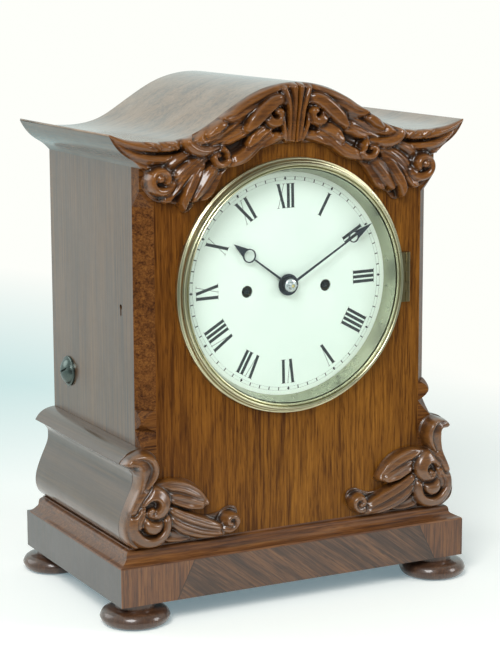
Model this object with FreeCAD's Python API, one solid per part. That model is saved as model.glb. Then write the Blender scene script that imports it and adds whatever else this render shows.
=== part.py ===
import FreeCAD, Part
import math
import os

# Twin fusee bracket clock, in millimetres.
# X runs to the right of the dial, Y runs to the back and Z runs up from the floor.
# The origin is on the floor under the middle of the base.

# Base and feet
base_width = 362.0
base_depth = 230.0
base_height = 35.5
base_rail_width = 40.0
floor_thickness = 10.0
foot_radius = 32.2
foot_ball_height = 15.3
foot_flat_radius = 18.0
foot_neck_radius = 18.0
foot_neck_height = 5.7
foot_side_inset = 21.7
foot_end_inset = 19.5

# Moulding round the top of the base
moulding_height = 14.5
front_ledge = 15.0
side_ledge = 29.0
back_ledge = 7.0
moulding_lip_shares = [(0.00, 0.00), (0.04, 0.10)]
moulding_hollow_shares = [(0.04, 0.10), (0.30, 0.20), (0.60, 0.41)]
moulding_fillet_shares = [(0.60, 0.41), (0.64, 0.48)]
moulding_round_shares = [(0.64, 0.48), (0.72, 0.80), (0.98, 0.93)]

# Case
case_height = 356.5
side_thickness = 8.0
front_thickness = 10.0
corner_width = 14.0
corner_depth = 16.0
chamfer_head = 35.5
chamfer_tongue = 17.0
stop_ledge = 138.0
stop_scroll_foot = 119.5
stop_foot = 103.0
stop_scroll_reach = 8.5
stop_ledge_reach = 1.5
chamfer_bend_shares = (0.45, 0.40)
stop_bend_shares = (0.60, 0.40)

# Skirts that flare out beside the case
skirt_depth = 22.0
skirt_height = 90.0
skirt_front_setback = 5.0
skirt_belly_shares = [
    (0.545, 0.000), (0.864, 0.072), (1.000, 0.200), (0.864, 0.356), (0.568, 0.522),
    (0.377, 0.644), (0.364, 0.744),
]
skirt_undercut_shares = [(0.364, 0.744), (0.500, 0.794), (0.955, 0.867)]
skirt_nose_shares = [(0.955, 0.867), (0.795, 0.922), (0.455, 0.978), (0.000, 1.000)]

# Roof
roof_overhang = 29.5
roof_rise = 71.0
roof_front_overhang = 4.0
cornice_inner_width = 14.0
roof_top_shares = [
    (0.000, 1.000), (0.110, 0.972), (0.220, 0.887), (0.331, 0.739), (0.441, 0.563),
    (0.551, 0.406), (0.634, 0.345), (0.727, 0.324), (0.826, 0.335), (0.909, 0.363),
    (1.000, 0.437),
]
roof_under_shares = [
    (0.000, 0.859), (0.110, 0.831), (0.220, 0.739), (0.331, 0.592), (0.441, 0.415),
    (0.551, 0.261), (0.634, 0.204), (0.727, 0.190), (0.826, 0.211), (0.909, 0.275),
    (1.000, 0.408),
]
cove_shares = [(1.000, 0.408), (0.780, 0.268), (0.441, 0.148), (0.203, 0.085), (0.000, 0.000)]

# Crest carving, one half on each side of the middle
crest_drop = 41.0
crest_slab = 5.0
crest_relief = 14.0
crest_joint = 0.2
leaf_bevel = 1.6
leaf_sink = 1.5
crest_lower_shares = [
    (0.000, 0.509), (0.110, 0.500), (0.193, 0.464), (0.253, 0.393), (0.309, 0.353),
    (0.375, 0.321), (0.413, 0.250), (0.452, 0.152), (0.496, 0.089), (0.540, 0.071),
    (0.579, 0.009), (0.617, 0.004), (0.645, 0.062), (0.683, 0.080),
]
crest_side_shares = [
    (0.683, 0.080), (0.749, 0.098), (0.804, 0.170), (0.829, 0.259), (0.815, 0.339),
    (0.837, 0.366),
]
crest_leaf_shares = [
    [(0.022, 0.875, 0.027), (0.077, 0.911, 0.054), (0.176, 0.884, 0.071), (0.303, 0.786, 0.071),
     (0.441, 0.643, 0.062), (0.540, 0.554, 0.045), (0.573, 0.509, 0.018)],
    [(0.066, 0.670, 0.027), (0.165, 0.679, 0.062), (0.275, 0.643, 0.071), (0.364, 0.554, 0.062),
     (0.430, 0.455, 0.045), (0.463, 0.393, 0.018)],
    [(0.033, 0.571, 0.027), (0.099, 0.580, 0.054), (0.187, 0.536, 0.062), (0.253, 0.455, 0.045),
     (0.298, 0.393, 0.018)],
    [(0.386, 0.464, 0.027), (0.463, 0.402, 0.062), (0.540, 0.286, 0.071), (0.584, 0.161, 0.062),
     (0.606, 0.054, 0.036), (0.612, 0.025, 0.018)],
    [(0.463, 0.518, 0.027), (0.551, 0.446, 0.062), (0.639, 0.321, 0.071), (0.683, 0.196, 0.054),
     (0.683, 0.107, 0.018)],
    [(0.595, 0.536, 0.036), (0.683, 0.482, 0.045), (0.782, 0.473, 0.045), (0.882, 0.518, 0.036),
     (0.970, 0.598, 0.018)],
    [(0.584, 0.446, 0.027), (0.672, 0.393, 0.036), (0.771, 0.384, 0.036), (0.830, 0.410, 0.018)],
]
crest_leaf_height_shares = [1.00, 0.86, 0.80, 0.92, 0.84, 0.74, 0.68]
crest_volute_shares = [
    (0.105, 0.759, 0.080), (0.419, 0.429, 0.080), (0.749, 0.268, 0.107), (0.545, 0.545, 0.071),
]

# Carved brackets at the foot of the case
bracket_slab = 6.0
bracket_relief = 14.0
bracket_outer_shares = [
    (0.940, 0.003), (0.983, 0.078), (0.999, 0.211), (0.983, 0.367), (0.945, 0.533),
    (0.920, 0.656), (0.918, 0.744),
]
bracket_beak_shares = [(0.918, 0.744), (0.937, 0.800), (0.991, 0.867)]
bracket_top_shares = [
    (0.991, 0.867), (0.966, 0.928), (0.920, 0.972), (0.862, 0.994), (0.816, 0.944),
    (0.796, 0.856), (0.810, 0.744), (0.833, 0.656),
]
bracket_lobe_shares = [
    (0.833, 0.656), (0.759, 0.672), (0.667, 0.667), (0.598, 0.611), (0.540, 0.500),
    (0.506, 0.389),
]
bracket_inner_shares = [
    (0.506, 0.389), (0.546, 0.333), (0.609, 0.322), (0.563, 0.267), (0.494, 0.244),
    (0.437, 0.267), (0.379, 0.311), (0.339, 0.278), (0.333, 0.189), (0.356, 0.089),
    (0.402, 0.028), (0.460, 0.003),
]
bracket_leaf_shares = [
    [(0.862, 0.544, 0.033), (0.782, 0.578, 0.067), (0.678, 0.567, 0.078), (0.586, 0.489, 0.067),
     (0.529, 0.389, 0.022)],
    [(0.793, 0.367, 0.033), (0.736, 0.433, 0.056), (0.667, 0.378, 0.067), (0.609, 0.278, 0.056),
     (0.552, 0.211, 0.033)],
    [(0.759, 0.322, 0.033), (0.713, 0.233, 0.067), (0.621, 0.144, 0.078), (0.517, 0.122, 0.078),
     (0.425, 0.144, 0.056), (0.368, 0.211, 0.033)],
    [(0.954, 0.233, 0.045), (0.943, 0.389, 0.050), (0.902, 0.567, 0.050), (0.868, 0.744, 0.050),
     (0.874, 0.850, 0.045), (0.935, 0.885, 0.028)],
]
bracket_leaf_height_shares = [0.95, 0.80, 0.90, 0.85]
bracket_volute_shares = [(0.851, 0.222, 0.205), (0.782, 0.422, 0.089), (0.379, 0.167, 0.089)]

# Volutes of both carvings
volute_step_shares = [(1.00, 0.72), (0.74, 0.50), (0.50, 1.00)]

# Back of the case
back_thickness = 12.0
back_stile_width = 18.0
back_foot_rail = 19.5
back_head_rail = 17.0
door_gap = 0.5
door_thickness = 10.0
door_stile_width = 22.0
door_glass_thickness = 2.0
door_rebate = 4.0
door_hinge_radius = 2.2
door_hinge_proud = 2.5
door_hinge_height = 40.0
door_hinge_gap = 0.3
door_hinge_leaf_width = 9.0
door_hinge_leaf_thickness = 0.9
door_hinge_inset = 60.0
catch_knob_radius = 7.0
catch_knob_length = 6.0
catch_spindle_radius = 2.0
catch_tongue_length = 20.0
catch_tongue_width = 9.0
catch_tongue_thickness = 2.2
catch_tongue_gap = 0.4

# Dial, bezel and sight ring
bezel_border = 34.0
bezel_top_rise = 3.0
dial_lap = 1.5
dial_thickness = 1.6
dial_hand_hole_radius = 6.0
winding_hole_radius = 5.6
dial_foot_radius = 3.0
dial_foot_circle = 66.0
dial_foot_angle = 45.0
panel_hole_gap = 1.2
sight_lean = 4.0
sight_thickness = 0.8
sight_gap = 0.6
bezel_roll_width = 9.5
bezel_height = 11.0
bezel_band_height = 4.0
bezel_roll_shares = [(1.00, 0.36), (0.93, 0.75), (0.62, 1.00), (0.26, 0.86)]
glass_rebate = 1.5
glass_thickness = 2.0
glass_setback = 3.2
bezel_hinge_stand_off = 3.2
bezel_hinge_proud = 5.0
bezel_knuckle_radius = 2.6
bezel_hinge_height = 47.0
bezel_knuckle_gap = 0.3
bezel_leaf_thickness = 3.0
bezel_plate_thickness = 1.4
bezel_plate_width = 3.0
hinge_pin_radius = 1.2

# Lock at the left side, with the eye on the bezel that its bolt passes through
eye_height = 12.0
eye_thickness = 2.0
eye_inset = 4.5
eye_drop = 8.0
eye_length = 24.0
eye_slot_gap_inner = 0.5
eye_slot_gap_outer = 2.3
eye_slot_gap_end = 1.0
bolt_setback = 20.0
bolt_height = 4.0
bolt_width = 3.0
bolt_gap = 0.4
bolt_stand_off = 3.0
bolt_length = 18.0
lock_reach = 23.0
lock_depth = 34.0
lock_height = 28.0
lock_drop = 14.0
keyhole_radius = 2.5
keyhole_slot_width = 2.4
keyhole_slot_drop = 8.0
keyhole_setback = 43.0

# Hands
hour_hand_step = 31.0
hour_head_length = 19.7
hour_ring_radius = 6.5
hour_head_width = 9.0
minute_tip_gap = 3.2
minute_head_length = 22.1
minute_ring_radius = 5.4
minute_head_width = 8.0
hand_ring_band = 1.05
hand_arm_width = 1.2
hand_tail_width = 2.2
hand_thickness = 1.2
hour_hub_radius = 10.0
minute_hub_radius = 7.4
hour_hand_angle = 306.3
minute_hand_angle = 59.0
hour_hand_stand_off = 2.6
minute_hand_gap = 2.4
hand_washer_radius = 6.3
hand_washer_thickness = 2.0
hand_nut_radius = 3.6
hand_nut_length = 3.4

# Movement plates
plate_half_width = 85.0
plate_drop = 110.0
plate_rise = 78.0
plate_thickness = 3.5
plate_gap = 58.0
dial_to_plate = 16.4
pillar_radius = 5.0
pillar_inset = 8.0
seat_thickness = 12.0
seat_overhang = 5.0

# Arbors
running_clearance = 0.05
end_shake = 0.3
arbor_radius = 2.0
pivot_radius = 1.0
centre_post_radius = 1.6
minute_stud_radius = 0.6
minute_wheel_hub_radius = 3.0
pipe_wall = 1.3
motion_place_share = 0.42
wheel_hub_share = 1.6
fusee_arbor_radius = 3.0
winding_square = 4.2
winding_square_recess = 0.5
winding_square_length = 6.0
wheel_thickness = 1.6
pinion_overlap = 1.6
collet_length = 3.0
collet_growth = 2.0
spoke_width = 3.0
rim_width = 3.5

# Gears
great_wheel_thickness = 2.6
fusee_offset = 41.0
fusee_drop = 4.0
going_great_teeth = 96
centre_pinion_leaves = 8
strike_great_teeth = 84
strike_great_module = 0.81
pin_pinion_leaves = 8
third_distance = 40.0
centre_teeth = 84
third_pinion_leaves = 7
third_teeth = 78
escape_pinion_leaves = 7
third_escape_module = 0.6
escape_rise = 44.0
escape_teeth = 30
escape_radius = 17.0
escape_root_share = 0.84
escape_tooth_shares = (0.30, 0.36, 0.42)
escape_arms = 4
escape_arm_angle = 30.0
anchor_rise = 66.0
cannon_teeth = 36
minute_teeth = 36
minute_pinion_leaves = 6
hour_teeth = 72
motion_module = 0.5
minute_wheel_angle = 310.0
pin_angle = 105.0
pin_teeth = 64
gathering_pinion_leaves = 8
pin_module = 0.65
gathering_angle = 60.0
gathering_teeth = 56
warning_pinion_leaves = 8
strike_module = 0.6
warning_angle = 355.0
warning_teeth = 48
fly_pinion_leaves = 8
fly_angle = 100.0

# Tooth form, as shares of the module or of the pitch
tip_share = 0.75
root_share = 1.15
leaf_tip_share = 0.65
leaf_root_share = 1.25
tooth_base_share = 0.54
tooth_tip_share = 0.16
leaf_base_share = 0.44
leaf_tip_width_share = 0.14

# Fusees and barrels
fusee_large_radius = 29.0
fusee_small_radius = 14.0
fusee_length = 38.0
fusee_to_wheel = 1.5
fusee_turns = 14
fusee_groove_depth = 1.2
fusee_hollow = 3.0
fusee_land_share = 0.1
barrel_radius = 31.0
barrel_wall = 2.0
barrel_length = 39.0
barrel_offset = 48.0
barrel_drop = 71.0
barrel_cap = 2.0
spring_gap = 0.5
spring_core_radius = 9.0
line_radius = 0.8
line_gap = 0.8

# Pendulum, cock and anchor
pendulum_setback = 15.0
pendulum_length = 200.0
rod_radius = 1.5
bob_radius = 35.0
bob_thickness = 18.0
bob_edge_thickness = 3.0
bob_face_shares = [(0.00, 1.00), (0.45, 0.88), (0.80, 0.50)]
rating_nut_radius = 6.0
rating_nut_height = 4.0
rating_tail = 8.0
suspension_width = 6.0
suspension_thickness = 0.4
suspension_length = 7.0
suspension_gap = 0.6
cock_half_width = 20.0
cock_foot_width = 7.0
cock_plate_thickness = 3.0
cock_stand_off = 8.0
cock_drop = 9.0
cock_rise = 13.0
cock_arm_half_width = 5.0
cock_arm_height = 5.0
cock_hole_radius = 8.0
crutch_width = 5.0
crutch_thickness = 1.5
crutch_length = 38.0
crutch_prong = 2.0
crutch_prong_gap = 0.6
crutch_clear_of_plate = 2.5
anchor_thickness = 3.0
anchor_arm_width = 4.0
anchor_span = 15.0
anchor_pallet_drop = 3.0
anchor_wheel_gap = 1.8

# Hammer, gong and rack
gong_side_gap = 94.0
gong_outer_radius = 52.0
gong_turn_pitch = 6.0
gong_half_turns = 10
gong_wire_radius = 1.6
gong_boss_radius = 7.0
gong_boss_length = 12.0
stand_width = 12.0
stand_inset = 34.0
stand_thickness = 8.0
side_screw_rise = 42.0
side_screw_radius = 14.5
side_screw_proud = 8.0
side_screw_cup = 2.0
side_screw_shank = 4.0
side_screw_slot = 2.0
side_screw_dome_share = 0.80
side_screw_crown_share = 0.62
side_screw_crown_height_share = 0.35
side_screw_slot_depth_share = 0.20
hammer_arbor_offset = 76.0
hammer_arbor_rise = 34.0
hammer_stalk_radius = 1.2
hammer_head_radius = 5.0
hammer_head_length = 9.0
hammer_head_gap = 0.8
hammer_stalk_gap = 0.6
hammer_tail_gap = 0.5
hammer_tail_length = 5.8
hammer_tail_width = 3.0
lift_pin_count = 8
lift_pin_inset = 2.6
lift_pin_radius = 0.7
lift_pin_length = 3.0
fly_radius = 12.0
fly_length = 22.0
fly_thickness = 0.8
rack_stud_offset = 62.0
rack_stud_drop = 22.0
rack_radius = 50.0
rack_band = 6.0
rack_start = 40.0
rack_sweep = 36.0
rack_teeth = 14
rack_thickness = 1.6
rack_arm_width = 5.0
rack_tooth_depth = 2.0
rack_tooth_shares = (0.1, 0.9)
rack_stud_proud = 1.0
rack_stud_radius = 2.0
rack_hub_radius = 5.0

# Cuts run past what they cut by this much
overrun = 1.0

# Heights and depths worked out from the sizes above
half_base_width = base_width / 2
half_base_depth = base_depth / 2
foot_x = half_base_width - foot_side_inset
foot_y = half_base_depth - foot_end_inset
base_top = foot_ball_height + foot_neck_height + base_height
base_bottom = base_top - base_height
moulding_top = base_top + moulding_height
case_half_width = half_base_width - side_ledge
case_front = front_ledge - half_base_depth
case_back = half_base_depth - back_ledge
case_top = base_top + case_height
panel_half_width = case_half_width - corner_width
panel_back = case_front + front_thickness
corner_back = case_front + corner_depth
side_inner = case_half_width - side_thickness
back_front = case_back - back_thickness
roof_half_width = case_half_width + roof_overhang
roof_front = case_front - roof_front_overhang
crown = case_top + roof_rise
bezel_outer_radius = case_half_width - bezel_border
bezel_inner_radius = bezel_outer_radius - bezel_roll_width
bezel_hinge_offset = bezel_outer_radius + bezel_hinge_stand_off
glass_radius = bezel_inner_radius + glass_rebate
sight_front_radius = bezel_inner_radius
sight_back_radius = sight_front_radius - sight_lean
panel_hole_radius = bezel_inner_radius + panel_hole_gap
dial_radius = panel_hole_radius + dial_lap
minute_hand_length = sight_back_radius - sight_thickness - minute_tip_gap
minute_ring_place = minute_hand_length - minute_head_length
hour_hand_length = minute_hand_length - hour_hand_step
hour_ring_place = hour_hand_length - hour_head_length
dial_z = case_top + bezel_top_rise - bezel_outer_radius
dial_front = panel_back
dial_back = dial_front + dial_thickness
plate_front = dial_back + dial_to_plate
plate_front_back = plate_front + plate_thickness
plate_back = plate_front_back + plate_gap
plate_back_back = plate_back + plate_thickness
plate_bottom = dial_z - plate_drop
plate_top = dial_z + plate_rise
bezel_front = case_front - bezel_height
pendulum_y = plate_back_back + pendulum_setback


def point(x, y, z):
    return FreeCAD.Vector(x, y, z)


def block(left, right, front, back, low, high):
    corner = point(left, front, low)
    return Part.makeBox(right - left, back - front, high - low, corner)


def disc(centre, radius, front, back):
    base = point(centre[0], front, centre[1])
    return Part.makeCylinder(radius, back - front, base, point(0, 1, 0))


def tube(centre, outer, inner, front, back):
    hole = disc(centre, inner, front - overrun, back + overrun)
    return disc(centre, outer, front, back).cut(hole)


def post(x, y, radius, low, high):
    return Part.makeCylinder(radius, high - low, point(x, y, low), point(0, 0, 1))


def rail(y, z, radius, left, right):
    return Part.makeCylinder(radius, right - left, point(left, y, z), point(1, 0, 0))


def polar(centre, radius, angle):
    turn = math.radians(angle)
    return (centre[0] + radius * math.cos(turn), centre[1] + radius * math.sin(turn))


def polygon_wire(points, front):
    corners = [point(x, front, z) for x, z in points]
    return Part.makePolygon(corners + corners[:1])


def plate(points, front, back, windows=()):
    wires = [polygon_wire(points, front)] + list(windows)
    return Part.Face(wires).extrude(point(0, back - front, 0))


def slab(points, low, high):
    corners = [point(x, y, low) for x, y in points]
    face = Part.Face(Part.makePolygon(corners + corners[:1]))
    return face.extrude(point(0, 0, high - low))


# An edge through points: straight for two, a smooth curve for more
def edge_through(points):
    if len(points) == 2:
        return Part.makeLine(points[0], points[1])
    curve = Part.BSplineCurve()
    curve.interpolate(points)
    return curve.toShape()


def outline_face(runs, to_point):
    edges = []
    for run in runs:
        edges.append(edge_through([to_point(*place) for place in run]))
    return Part.Face(Part.Wire(edges))


def outline_solid(runs, front, back):
    face = outline_face(runs, lambda x, z: point(x, front, z))
    return face.extrude(point(0, back - front, 0))


def scaled(shares, x_start, x_size, z_start, z_size):
    return [(x_start + x * x_size, z_start + z * z_size) for x, z in shares]


def mirrored(shape):
    return shape.mirror(point(0, 0, 0), point(1, 0, 0))


def group(solids):
    return Part.makeCompound(list(solids))


nodes = {}


# Feet, base and moulding
def bun_foot(x, y):
    edge_height = foot_ball_height / 2
    flat = point(foot_flat_radius, 0, 0)
    widest = point(foot_radius, 0, edge_height)
    shoulder = point(foot_neck_radius, 0, foot_ball_height)
    low_mid = point(foot_radius - foot_ball_height / 8, 0, foot_ball_height / 5)
    high_mid = point(foot_radius - foot_ball_height / 8, 0, foot_ball_height * 4 / 5)
    edges = [
        Part.makeLine(point(0, 0, 0), flat),
        Part.Arc(flat, low_mid, widest).toShape(),
        Part.Arc(widest, high_mid, shoulder).toShape(),
        Part.makeLine(shoulder, point(foot_neck_radius, 0, base_bottom)),
        Part.makeLine(point(foot_neck_radius, 0, base_bottom), point(0, 0, base_bottom)),
        Part.makeLine(point(0, 0, base_bottom), point(0, 0, 0)),
    ]
    turned = Part.Face(Part.Wire(edges)).revolve(point(0, 0, 0), point(0, 0, 1), 360)
    turned.translate(point(x, y, 0))
    return turned


nodes["bun_feet"] = group(
    bun_foot(side * foot_x, end * foot_y) for side in (-1, 1) for end in (-1, 1)
)


def base_rails():
    inner_x = half_base_width - base_rail_width
    inner_y = half_base_depth - base_rail_width
    front = block(
        -half_base_width, half_base_width, -half_base_depth, -inner_y, base_bottom, base_top
    )
    back = block(
        -half_base_width, half_base_width, inner_y, half_base_depth, base_bottom, base_top
    )
    right = block(inner_x, half_base_width, -inner_y, inner_y, base_bottom, base_top)
    board = block(-inner_x, inner_x, -inner_y, inner_y, base_bottom, base_bottom + floor_thickness)
    return group([front, back, right, mirrored(right), board])


nodes["base_frame"] = base_rails()


def moulding_profile(inner):
    runs = [
        scaled(shares, 0, front_ledge, base_top, moulding_height)
        for shares in (
            moulding_lip_shares,
            moulding_hollow_shares,
            moulding_fillet_shares,
            moulding_round_shares,
        )
    ]
    crest = runs[-1][-1]
    runs.append([crest, (crest[0], moulding_top)])
    runs.append([(crest[0], moulding_top), (inner, moulding_top)])
    runs.append([(inner, moulding_top), (inner, base_top)])
    runs.append([(inner, base_top), (0, base_top)])
    return runs


def plinth_moulding():
    long_face = outline_face(
        moulding_profile(front_ledge), lambda d, z: point(-half_base_width, d - half_base_depth, z)
    )
    front = long_face.extrude(point(base_width, 0, 0))
    mitre = [
        (-half_base_width, -half_base_depth),
        (half_base_width, -half_base_depth),
        (half_base_width - front_ledge, case_front),
        (front_ledge - half_base_width, case_front),
    ]
    front = front.common(slab(mitre, base_top, moulding_top))
    side_face = outline_face(
        moulding_profile(side_ledge), lambda d, z: point(half_base_width - d, -half_base_depth, z)
    )
    side = side_face.extrude(point(0, case_back + half_base_depth, 0))
    mitre = [
        (half_base_width, -half_base_depth),
        (half_base_width, case_back),
        (case_half_width, case_back),
        (case_half_width, case_front),
        (half_base_width - front_ledge, case_front),
    ]
    side = side.common(slab(mitre, base_top, moulding_top))
    return group([front, side, mirrored(side)])


nodes["plinth_moulding"] = plinth_moulding()

# Sides, skirts and front
eye_z = dial_z - eye_drop
lock_z = dial_z - lock_drop
stand_z = moulding_top + skirt_height + side_screw_rise
stand_front = case_back - stand_inset - stand_thickness
stand_y = stand_front + stand_thickness / 4
keyhole_y = case_front + keyhole_setback
side_blank = block(side_inner, case_half_width, corner_back, case_back, base_top, case_top)
nodes["side_panel_right"] = side_blank
screw_hole = rail(
    stand_y, stand_z, side_screw_shank + running_clearance,
    -case_half_width - overrun, overrun - side_inner,
)
key_round = rail(keyhole_y, lock_z, keyhole_radius, -case_half_width - overrun, overrun - side_inner)
key_slot = block(
    -case_half_width - overrun, overrun - side_inner,
    keyhole_y - keyhole_slot_width / 2, keyhole_y + keyhole_slot_width / 2,
    lock_z - keyhole_slot_drop, lock_z,
)
nodes["side_panel_left"] = mirrored(side_blank).cut(screw_hole).cut(key_round).cut(key_slot)


def skirt():
    start = case_front + skirt_front_setback
    belly = scaled(skirt_belly_shares, case_half_width, skirt_depth, moulding_top, skirt_height)
    under = scaled(skirt_undercut_shares, case_half_width, skirt_depth, moulding_top, skirt_height)
    nose = scaled(skirt_nose_shares, case_half_width, skirt_depth, moulding_top, skirt_height)
    inner_foot = (case_half_width, moulding_top)
    runs = [belly, under, nose, [nose[-1], inner_foot], [inner_foot, belly[0]]]
    return outline_solid(runs, start, case_back)


skirt_right = skirt()
nodes["side_skirts"] = group([skirt_right, mirrored(skirt_right)])

dial_centre = (0, dial_z)
eye_middle = bezel_outer_radius - eye_inset
eye_outer = eye_middle + eye_thickness / 2
eye_inner = eye_middle - eye_thickness / 2
front_blank = block(
    -panel_half_width, panel_half_width, case_front, panel_back, base_top, case_top
)
eye_slot = block(
    -eye_outer - eye_slot_gap_outer, eye_slot_gap_inner - eye_inner,
    case_front - overrun, panel_back + overrun,
    eye_z - eye_height / 2 - eye_slot_gap_end, eye_z + eye_height / 2 + eye_slot_gap_end,
)
panel_hole = disc(dial_centre, panel_hole_radius, case_front - overrun, panel_back + overrun)
front_panel = front_blank.cut(panel_hole).cut(eye_slot)


# Corner posts: square at head and foot, chamfered between, with a scrolled stop
def canted_corner():
    whole = block(
        panel_half_width, case_half_width, case_front, corner_back, base_top, case_top
    )
    length = math.hypot(corner_width, corner_depth)
    along = point(corner_width / length, corner_depth / length, 0)
    out = point(corner_depth / length, -corner_width / length, 0)
    start = point(panel_half_width, case_front, 0) - along * (overrun * 2)
    full = corner_width * corner_depth / length
    top = case_top - chamfer_head
    ledge = base_top + stop_ledge
    scroll_foot = base_top + stop_scroll_foot
    foot = base_top + stop_foot
    scroll_mid = (ledge + scroll_foot) / 2
    far = full + overrun
    across, up = chamfer_bend_shares
    tongue_bend = (full * across, top + chamfer_tongue * up)
    across, up = stop_bend_shares
    foot_bend = (full * across, foot + (scroll_foot - foot) * up)
    runs = [
        [(0, ledge), (0, top)],
        [(0, top), tongue_bend, (far, top + chamfer_tongue)],
        [(far, top + chamfer_tongue), (far, foot)],
        [(far, foot), foot_bend, (0, scroll_foot)],
        [(0, scroll_foot), (stop_scroll_reach, scroll_mid), (stop_ledge_reach, ledge)],
        [(stop_ledge_reach, ledge), (0, ledge)],
    ]
    face = outline_face(runs, lambda d, z: start + out * d + point(0, 0, z))
    cutter = face.extrude(along * (length + overrun * 4))
    return whole.cut(cutter)


corner_right = canted_corner()
nodes["canted_corners"] = group([corner_right, mirrored(corner_right)])


# Roof, cornice and pediment
def both_sides(points):
    left = [(-x, z) for x, z in reversed(points[1:])]
    return left + points


roof_top = scaled(roof_top_shares, 0, roof_half_width, case_top, roof_rise)
roof_under = scaled(roof_under_shares, 0, roof_half_width, case_top, roof_rise)


def roof_board():
    upper = both_sides(roof_top)
    lower = both_sides(roof_under)
    runs = [
        upper,
        [upper[-1], lower[-1]],
        list(reversed(lower)),
        [lower[0], upper[0]],
    ]
    return outline_solid(runs, roof_front, case_back)


roof = roof_board()
nodes["roof_board"] = roof


def cornice():
    cove = scaled(cove_shares, case_half_width, roof_overhang, case_top, roof_rise)
    inner = case_half_width - cornice_inner_width
    tip = (roof_half_width, crown)
    runs = [
        cove,
        [cove[-1], (inner, case_top)],
        [(inner, case_top), (inner, crown)],
        [(inner, crown), tip],
        [tip, cove[0]],
    ]
    solid = outline_solid(runs, roof_front, case_back).cut(roof)
    return min(solid.Solids, key=lambda piece: piece.CenterOfMass.z)


cornice_right = cornice()
nodes["cornice_mouldings"] = group([cornice_right, mirrored(cornice_right)])
under_roof = case_half_width - cornice_inner_width


def pediment(front, back):
    blank = block(-under_roof, under_roof, front, back, case_top, crown)
    return min(blank.cut(roof).Solids, key=lambda piece: piece.CenterOfMass.z)


nodes["front_panel"] = group([front_panel, pediment(case_front, panel_back)])


# Carvings: a slab with the outline, then bevelled leaves and stepped volutes on it
def leaf(places, base_y, top_y):
    count = len(places)
    sides = {}
    for side in (-1, 1):
        for shrink in (0, 1):
            edge = []
            for i in range(count):
                before = places[max(i - 1, 0)]
                after = places[min(i + 1, count - 1)]
                run_x = after[0] - before[0]
                run_z = after[1] - before[1]
                run = math.hypot(run_x, run_z)
                wide = places[i][2] - shrink * min(leaf_bevel, places[i][2] / 2)
                x = places[i][0] - side * wide * run_z / run
                z = places[i][1] + side * wide * run_x / run
                edge.append((x, z))
            sides[side, shrink] = edge
    lower = sides[-1, 0] + list(reversed(sides[1, 0]))
    upper = sides[-1, 1] + list(reversed(sides[1, 1]))
    wires = [polygon_wire(lower, base_y), polygon_wire(upper, top_y)]
    return Part.makeLoft(wires, True, True)


def volute(x, z, radius, base_y, relief):
    steps = []
    for wide, high in volute_step_shares:
        steps.append(disc((x, z), radius * wide, base_y - relief * high, base_y))
    solid = steps[0].multiFuse(steps[1:])
    groove = tube(
        (x, z), radius * volute_step_shares[1][0], radius * volute_step_shares[2][0],
        base_y - relief * volute_step_shares[0][1], base_y - relief * volute_step_shares[1][1],
    )
    return solid.cut(groove)


def carving(runs, back_y, slab_depth, relief, leaves, heights, volutes, x_size, z_start, z_size):
    slab_front = back_y - slab_depth
    body = outline_solid(runs, slab_front, back_y)
    extras = []
    for shares, height in zip(leaves, heights):
        places = [(x * x_size, z_start + z * z_size, w * z_size / 2) for x, z, w in shares]
        top = slab_front - (relief - slab_depth) * height
        extras.append(leaf(places, slab_front + leaf_sink, top))
    for x, z, radius in volutes:
        extras.append(
            volute(x * x_size, z_start + z * z_size, radius * z_size, back_y, relief)
        )
    return body.multiFuse(extras).removeSplitter()


crest_low = case_top - crest_drop
crest_high = crown - crest_low


def crest_carving():
    lower = scaled(crest_lower_shares, 0, roof_half_width, crest_low, crest_high)
    side = scaled(crest_side_shares, 0, roof_half_width, crest_low, crest_high)
    joint = [(crest_joint / 2, lower[0][1])] + lower[1:]
    cove = scaled(cove_shares, case_half_width, roof_overhang, case_top, roof_rise)
    cove = list(reversed(cove))
    top = [(crest_joint / 2, roof_top[0][1])] + roof_top[1:]
    runs = [
        joint,
        side,
        [side[-1]] + cove[1:],
        [cove[-1], top[-1]],
        list(reversed(top)),
        [top[0], joint[0]],
    ]
    solid = carving(
        runs, case_front, crest_slab + roof_front_overhang, crest_relief, crest_leaf_shares,
        crest_leaf_height_shares, crest_volute_shares, roof_half_width, crest_low, crest_high,
    )
    # The roof board runs over the back of the carving, so all above its underside is cut away there
    under = both_sides(roof_under)
    above = crown + overrun
    zone = outline_solid(
        [
            under,
            [under[-1], (under[-1][0], above)],
            [(under[-1][0], above), (under[0][0], above)],
            [(under[0][0], above), under[0]],
        ],
        roof_front, case_back,
    )
    ends = block(under_roof, roof_half_width + overrun, roof_front, case_back, case_top, above)
    return max(solid.cut(zone).cut(ends).Solids, key=lambda piece: piece.Volume)


crest_right = crest_carving()
nodes["crest_carving_right"] = crest_right
nodes["crest_carving_left"] = mirrored(crest_right)

bracket_reach = case_half_width + skirt_depth


def corner_bracket():
    runs = [
        scaled(shares, 0, bracket_reach, moulding_top, skirt_height)
        for shares in (
            bracket_outer_shares,
            bracket_beak_shares,
            bracket_top_shares,
            bracket_lobe_shares,
            bracket_inner_shares,
        )
    ]
    runs.append([runs[-1][-1], runs[0][0]])
    solid = carving(
        runs, case_front, bracket_slab, bracket_relief, bracket_leaf_shares,
        bracket_leaf_height_shares, bracket_volute_shares, bracket_reach, moulding_top,
        skirt_height,
    )
    outside = block(
        case_half_width, bracket_reach, case_front, case_front + skirt_front_setback,
        moulding_top, moulding_top + skirt_height,
    )
    cheek = outline_solid(runs, case_front - overrun, case_front + skirt_front_setback)
    return solid.fuse(cheek.common(outside)).removeSplitter()


bracket_right = corner_bracket()
nodes["corner_carving_right"] = bracket_right
nodes["corner_carving_left"] = mirrored(bracket_right)

# Back frame with its pediment, glazed door, hinges and catch
opening_x = side_inner - back_stile_width
opening_low = base_top + back_foot_rail
opening_high = case_top - back_head_rail


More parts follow.
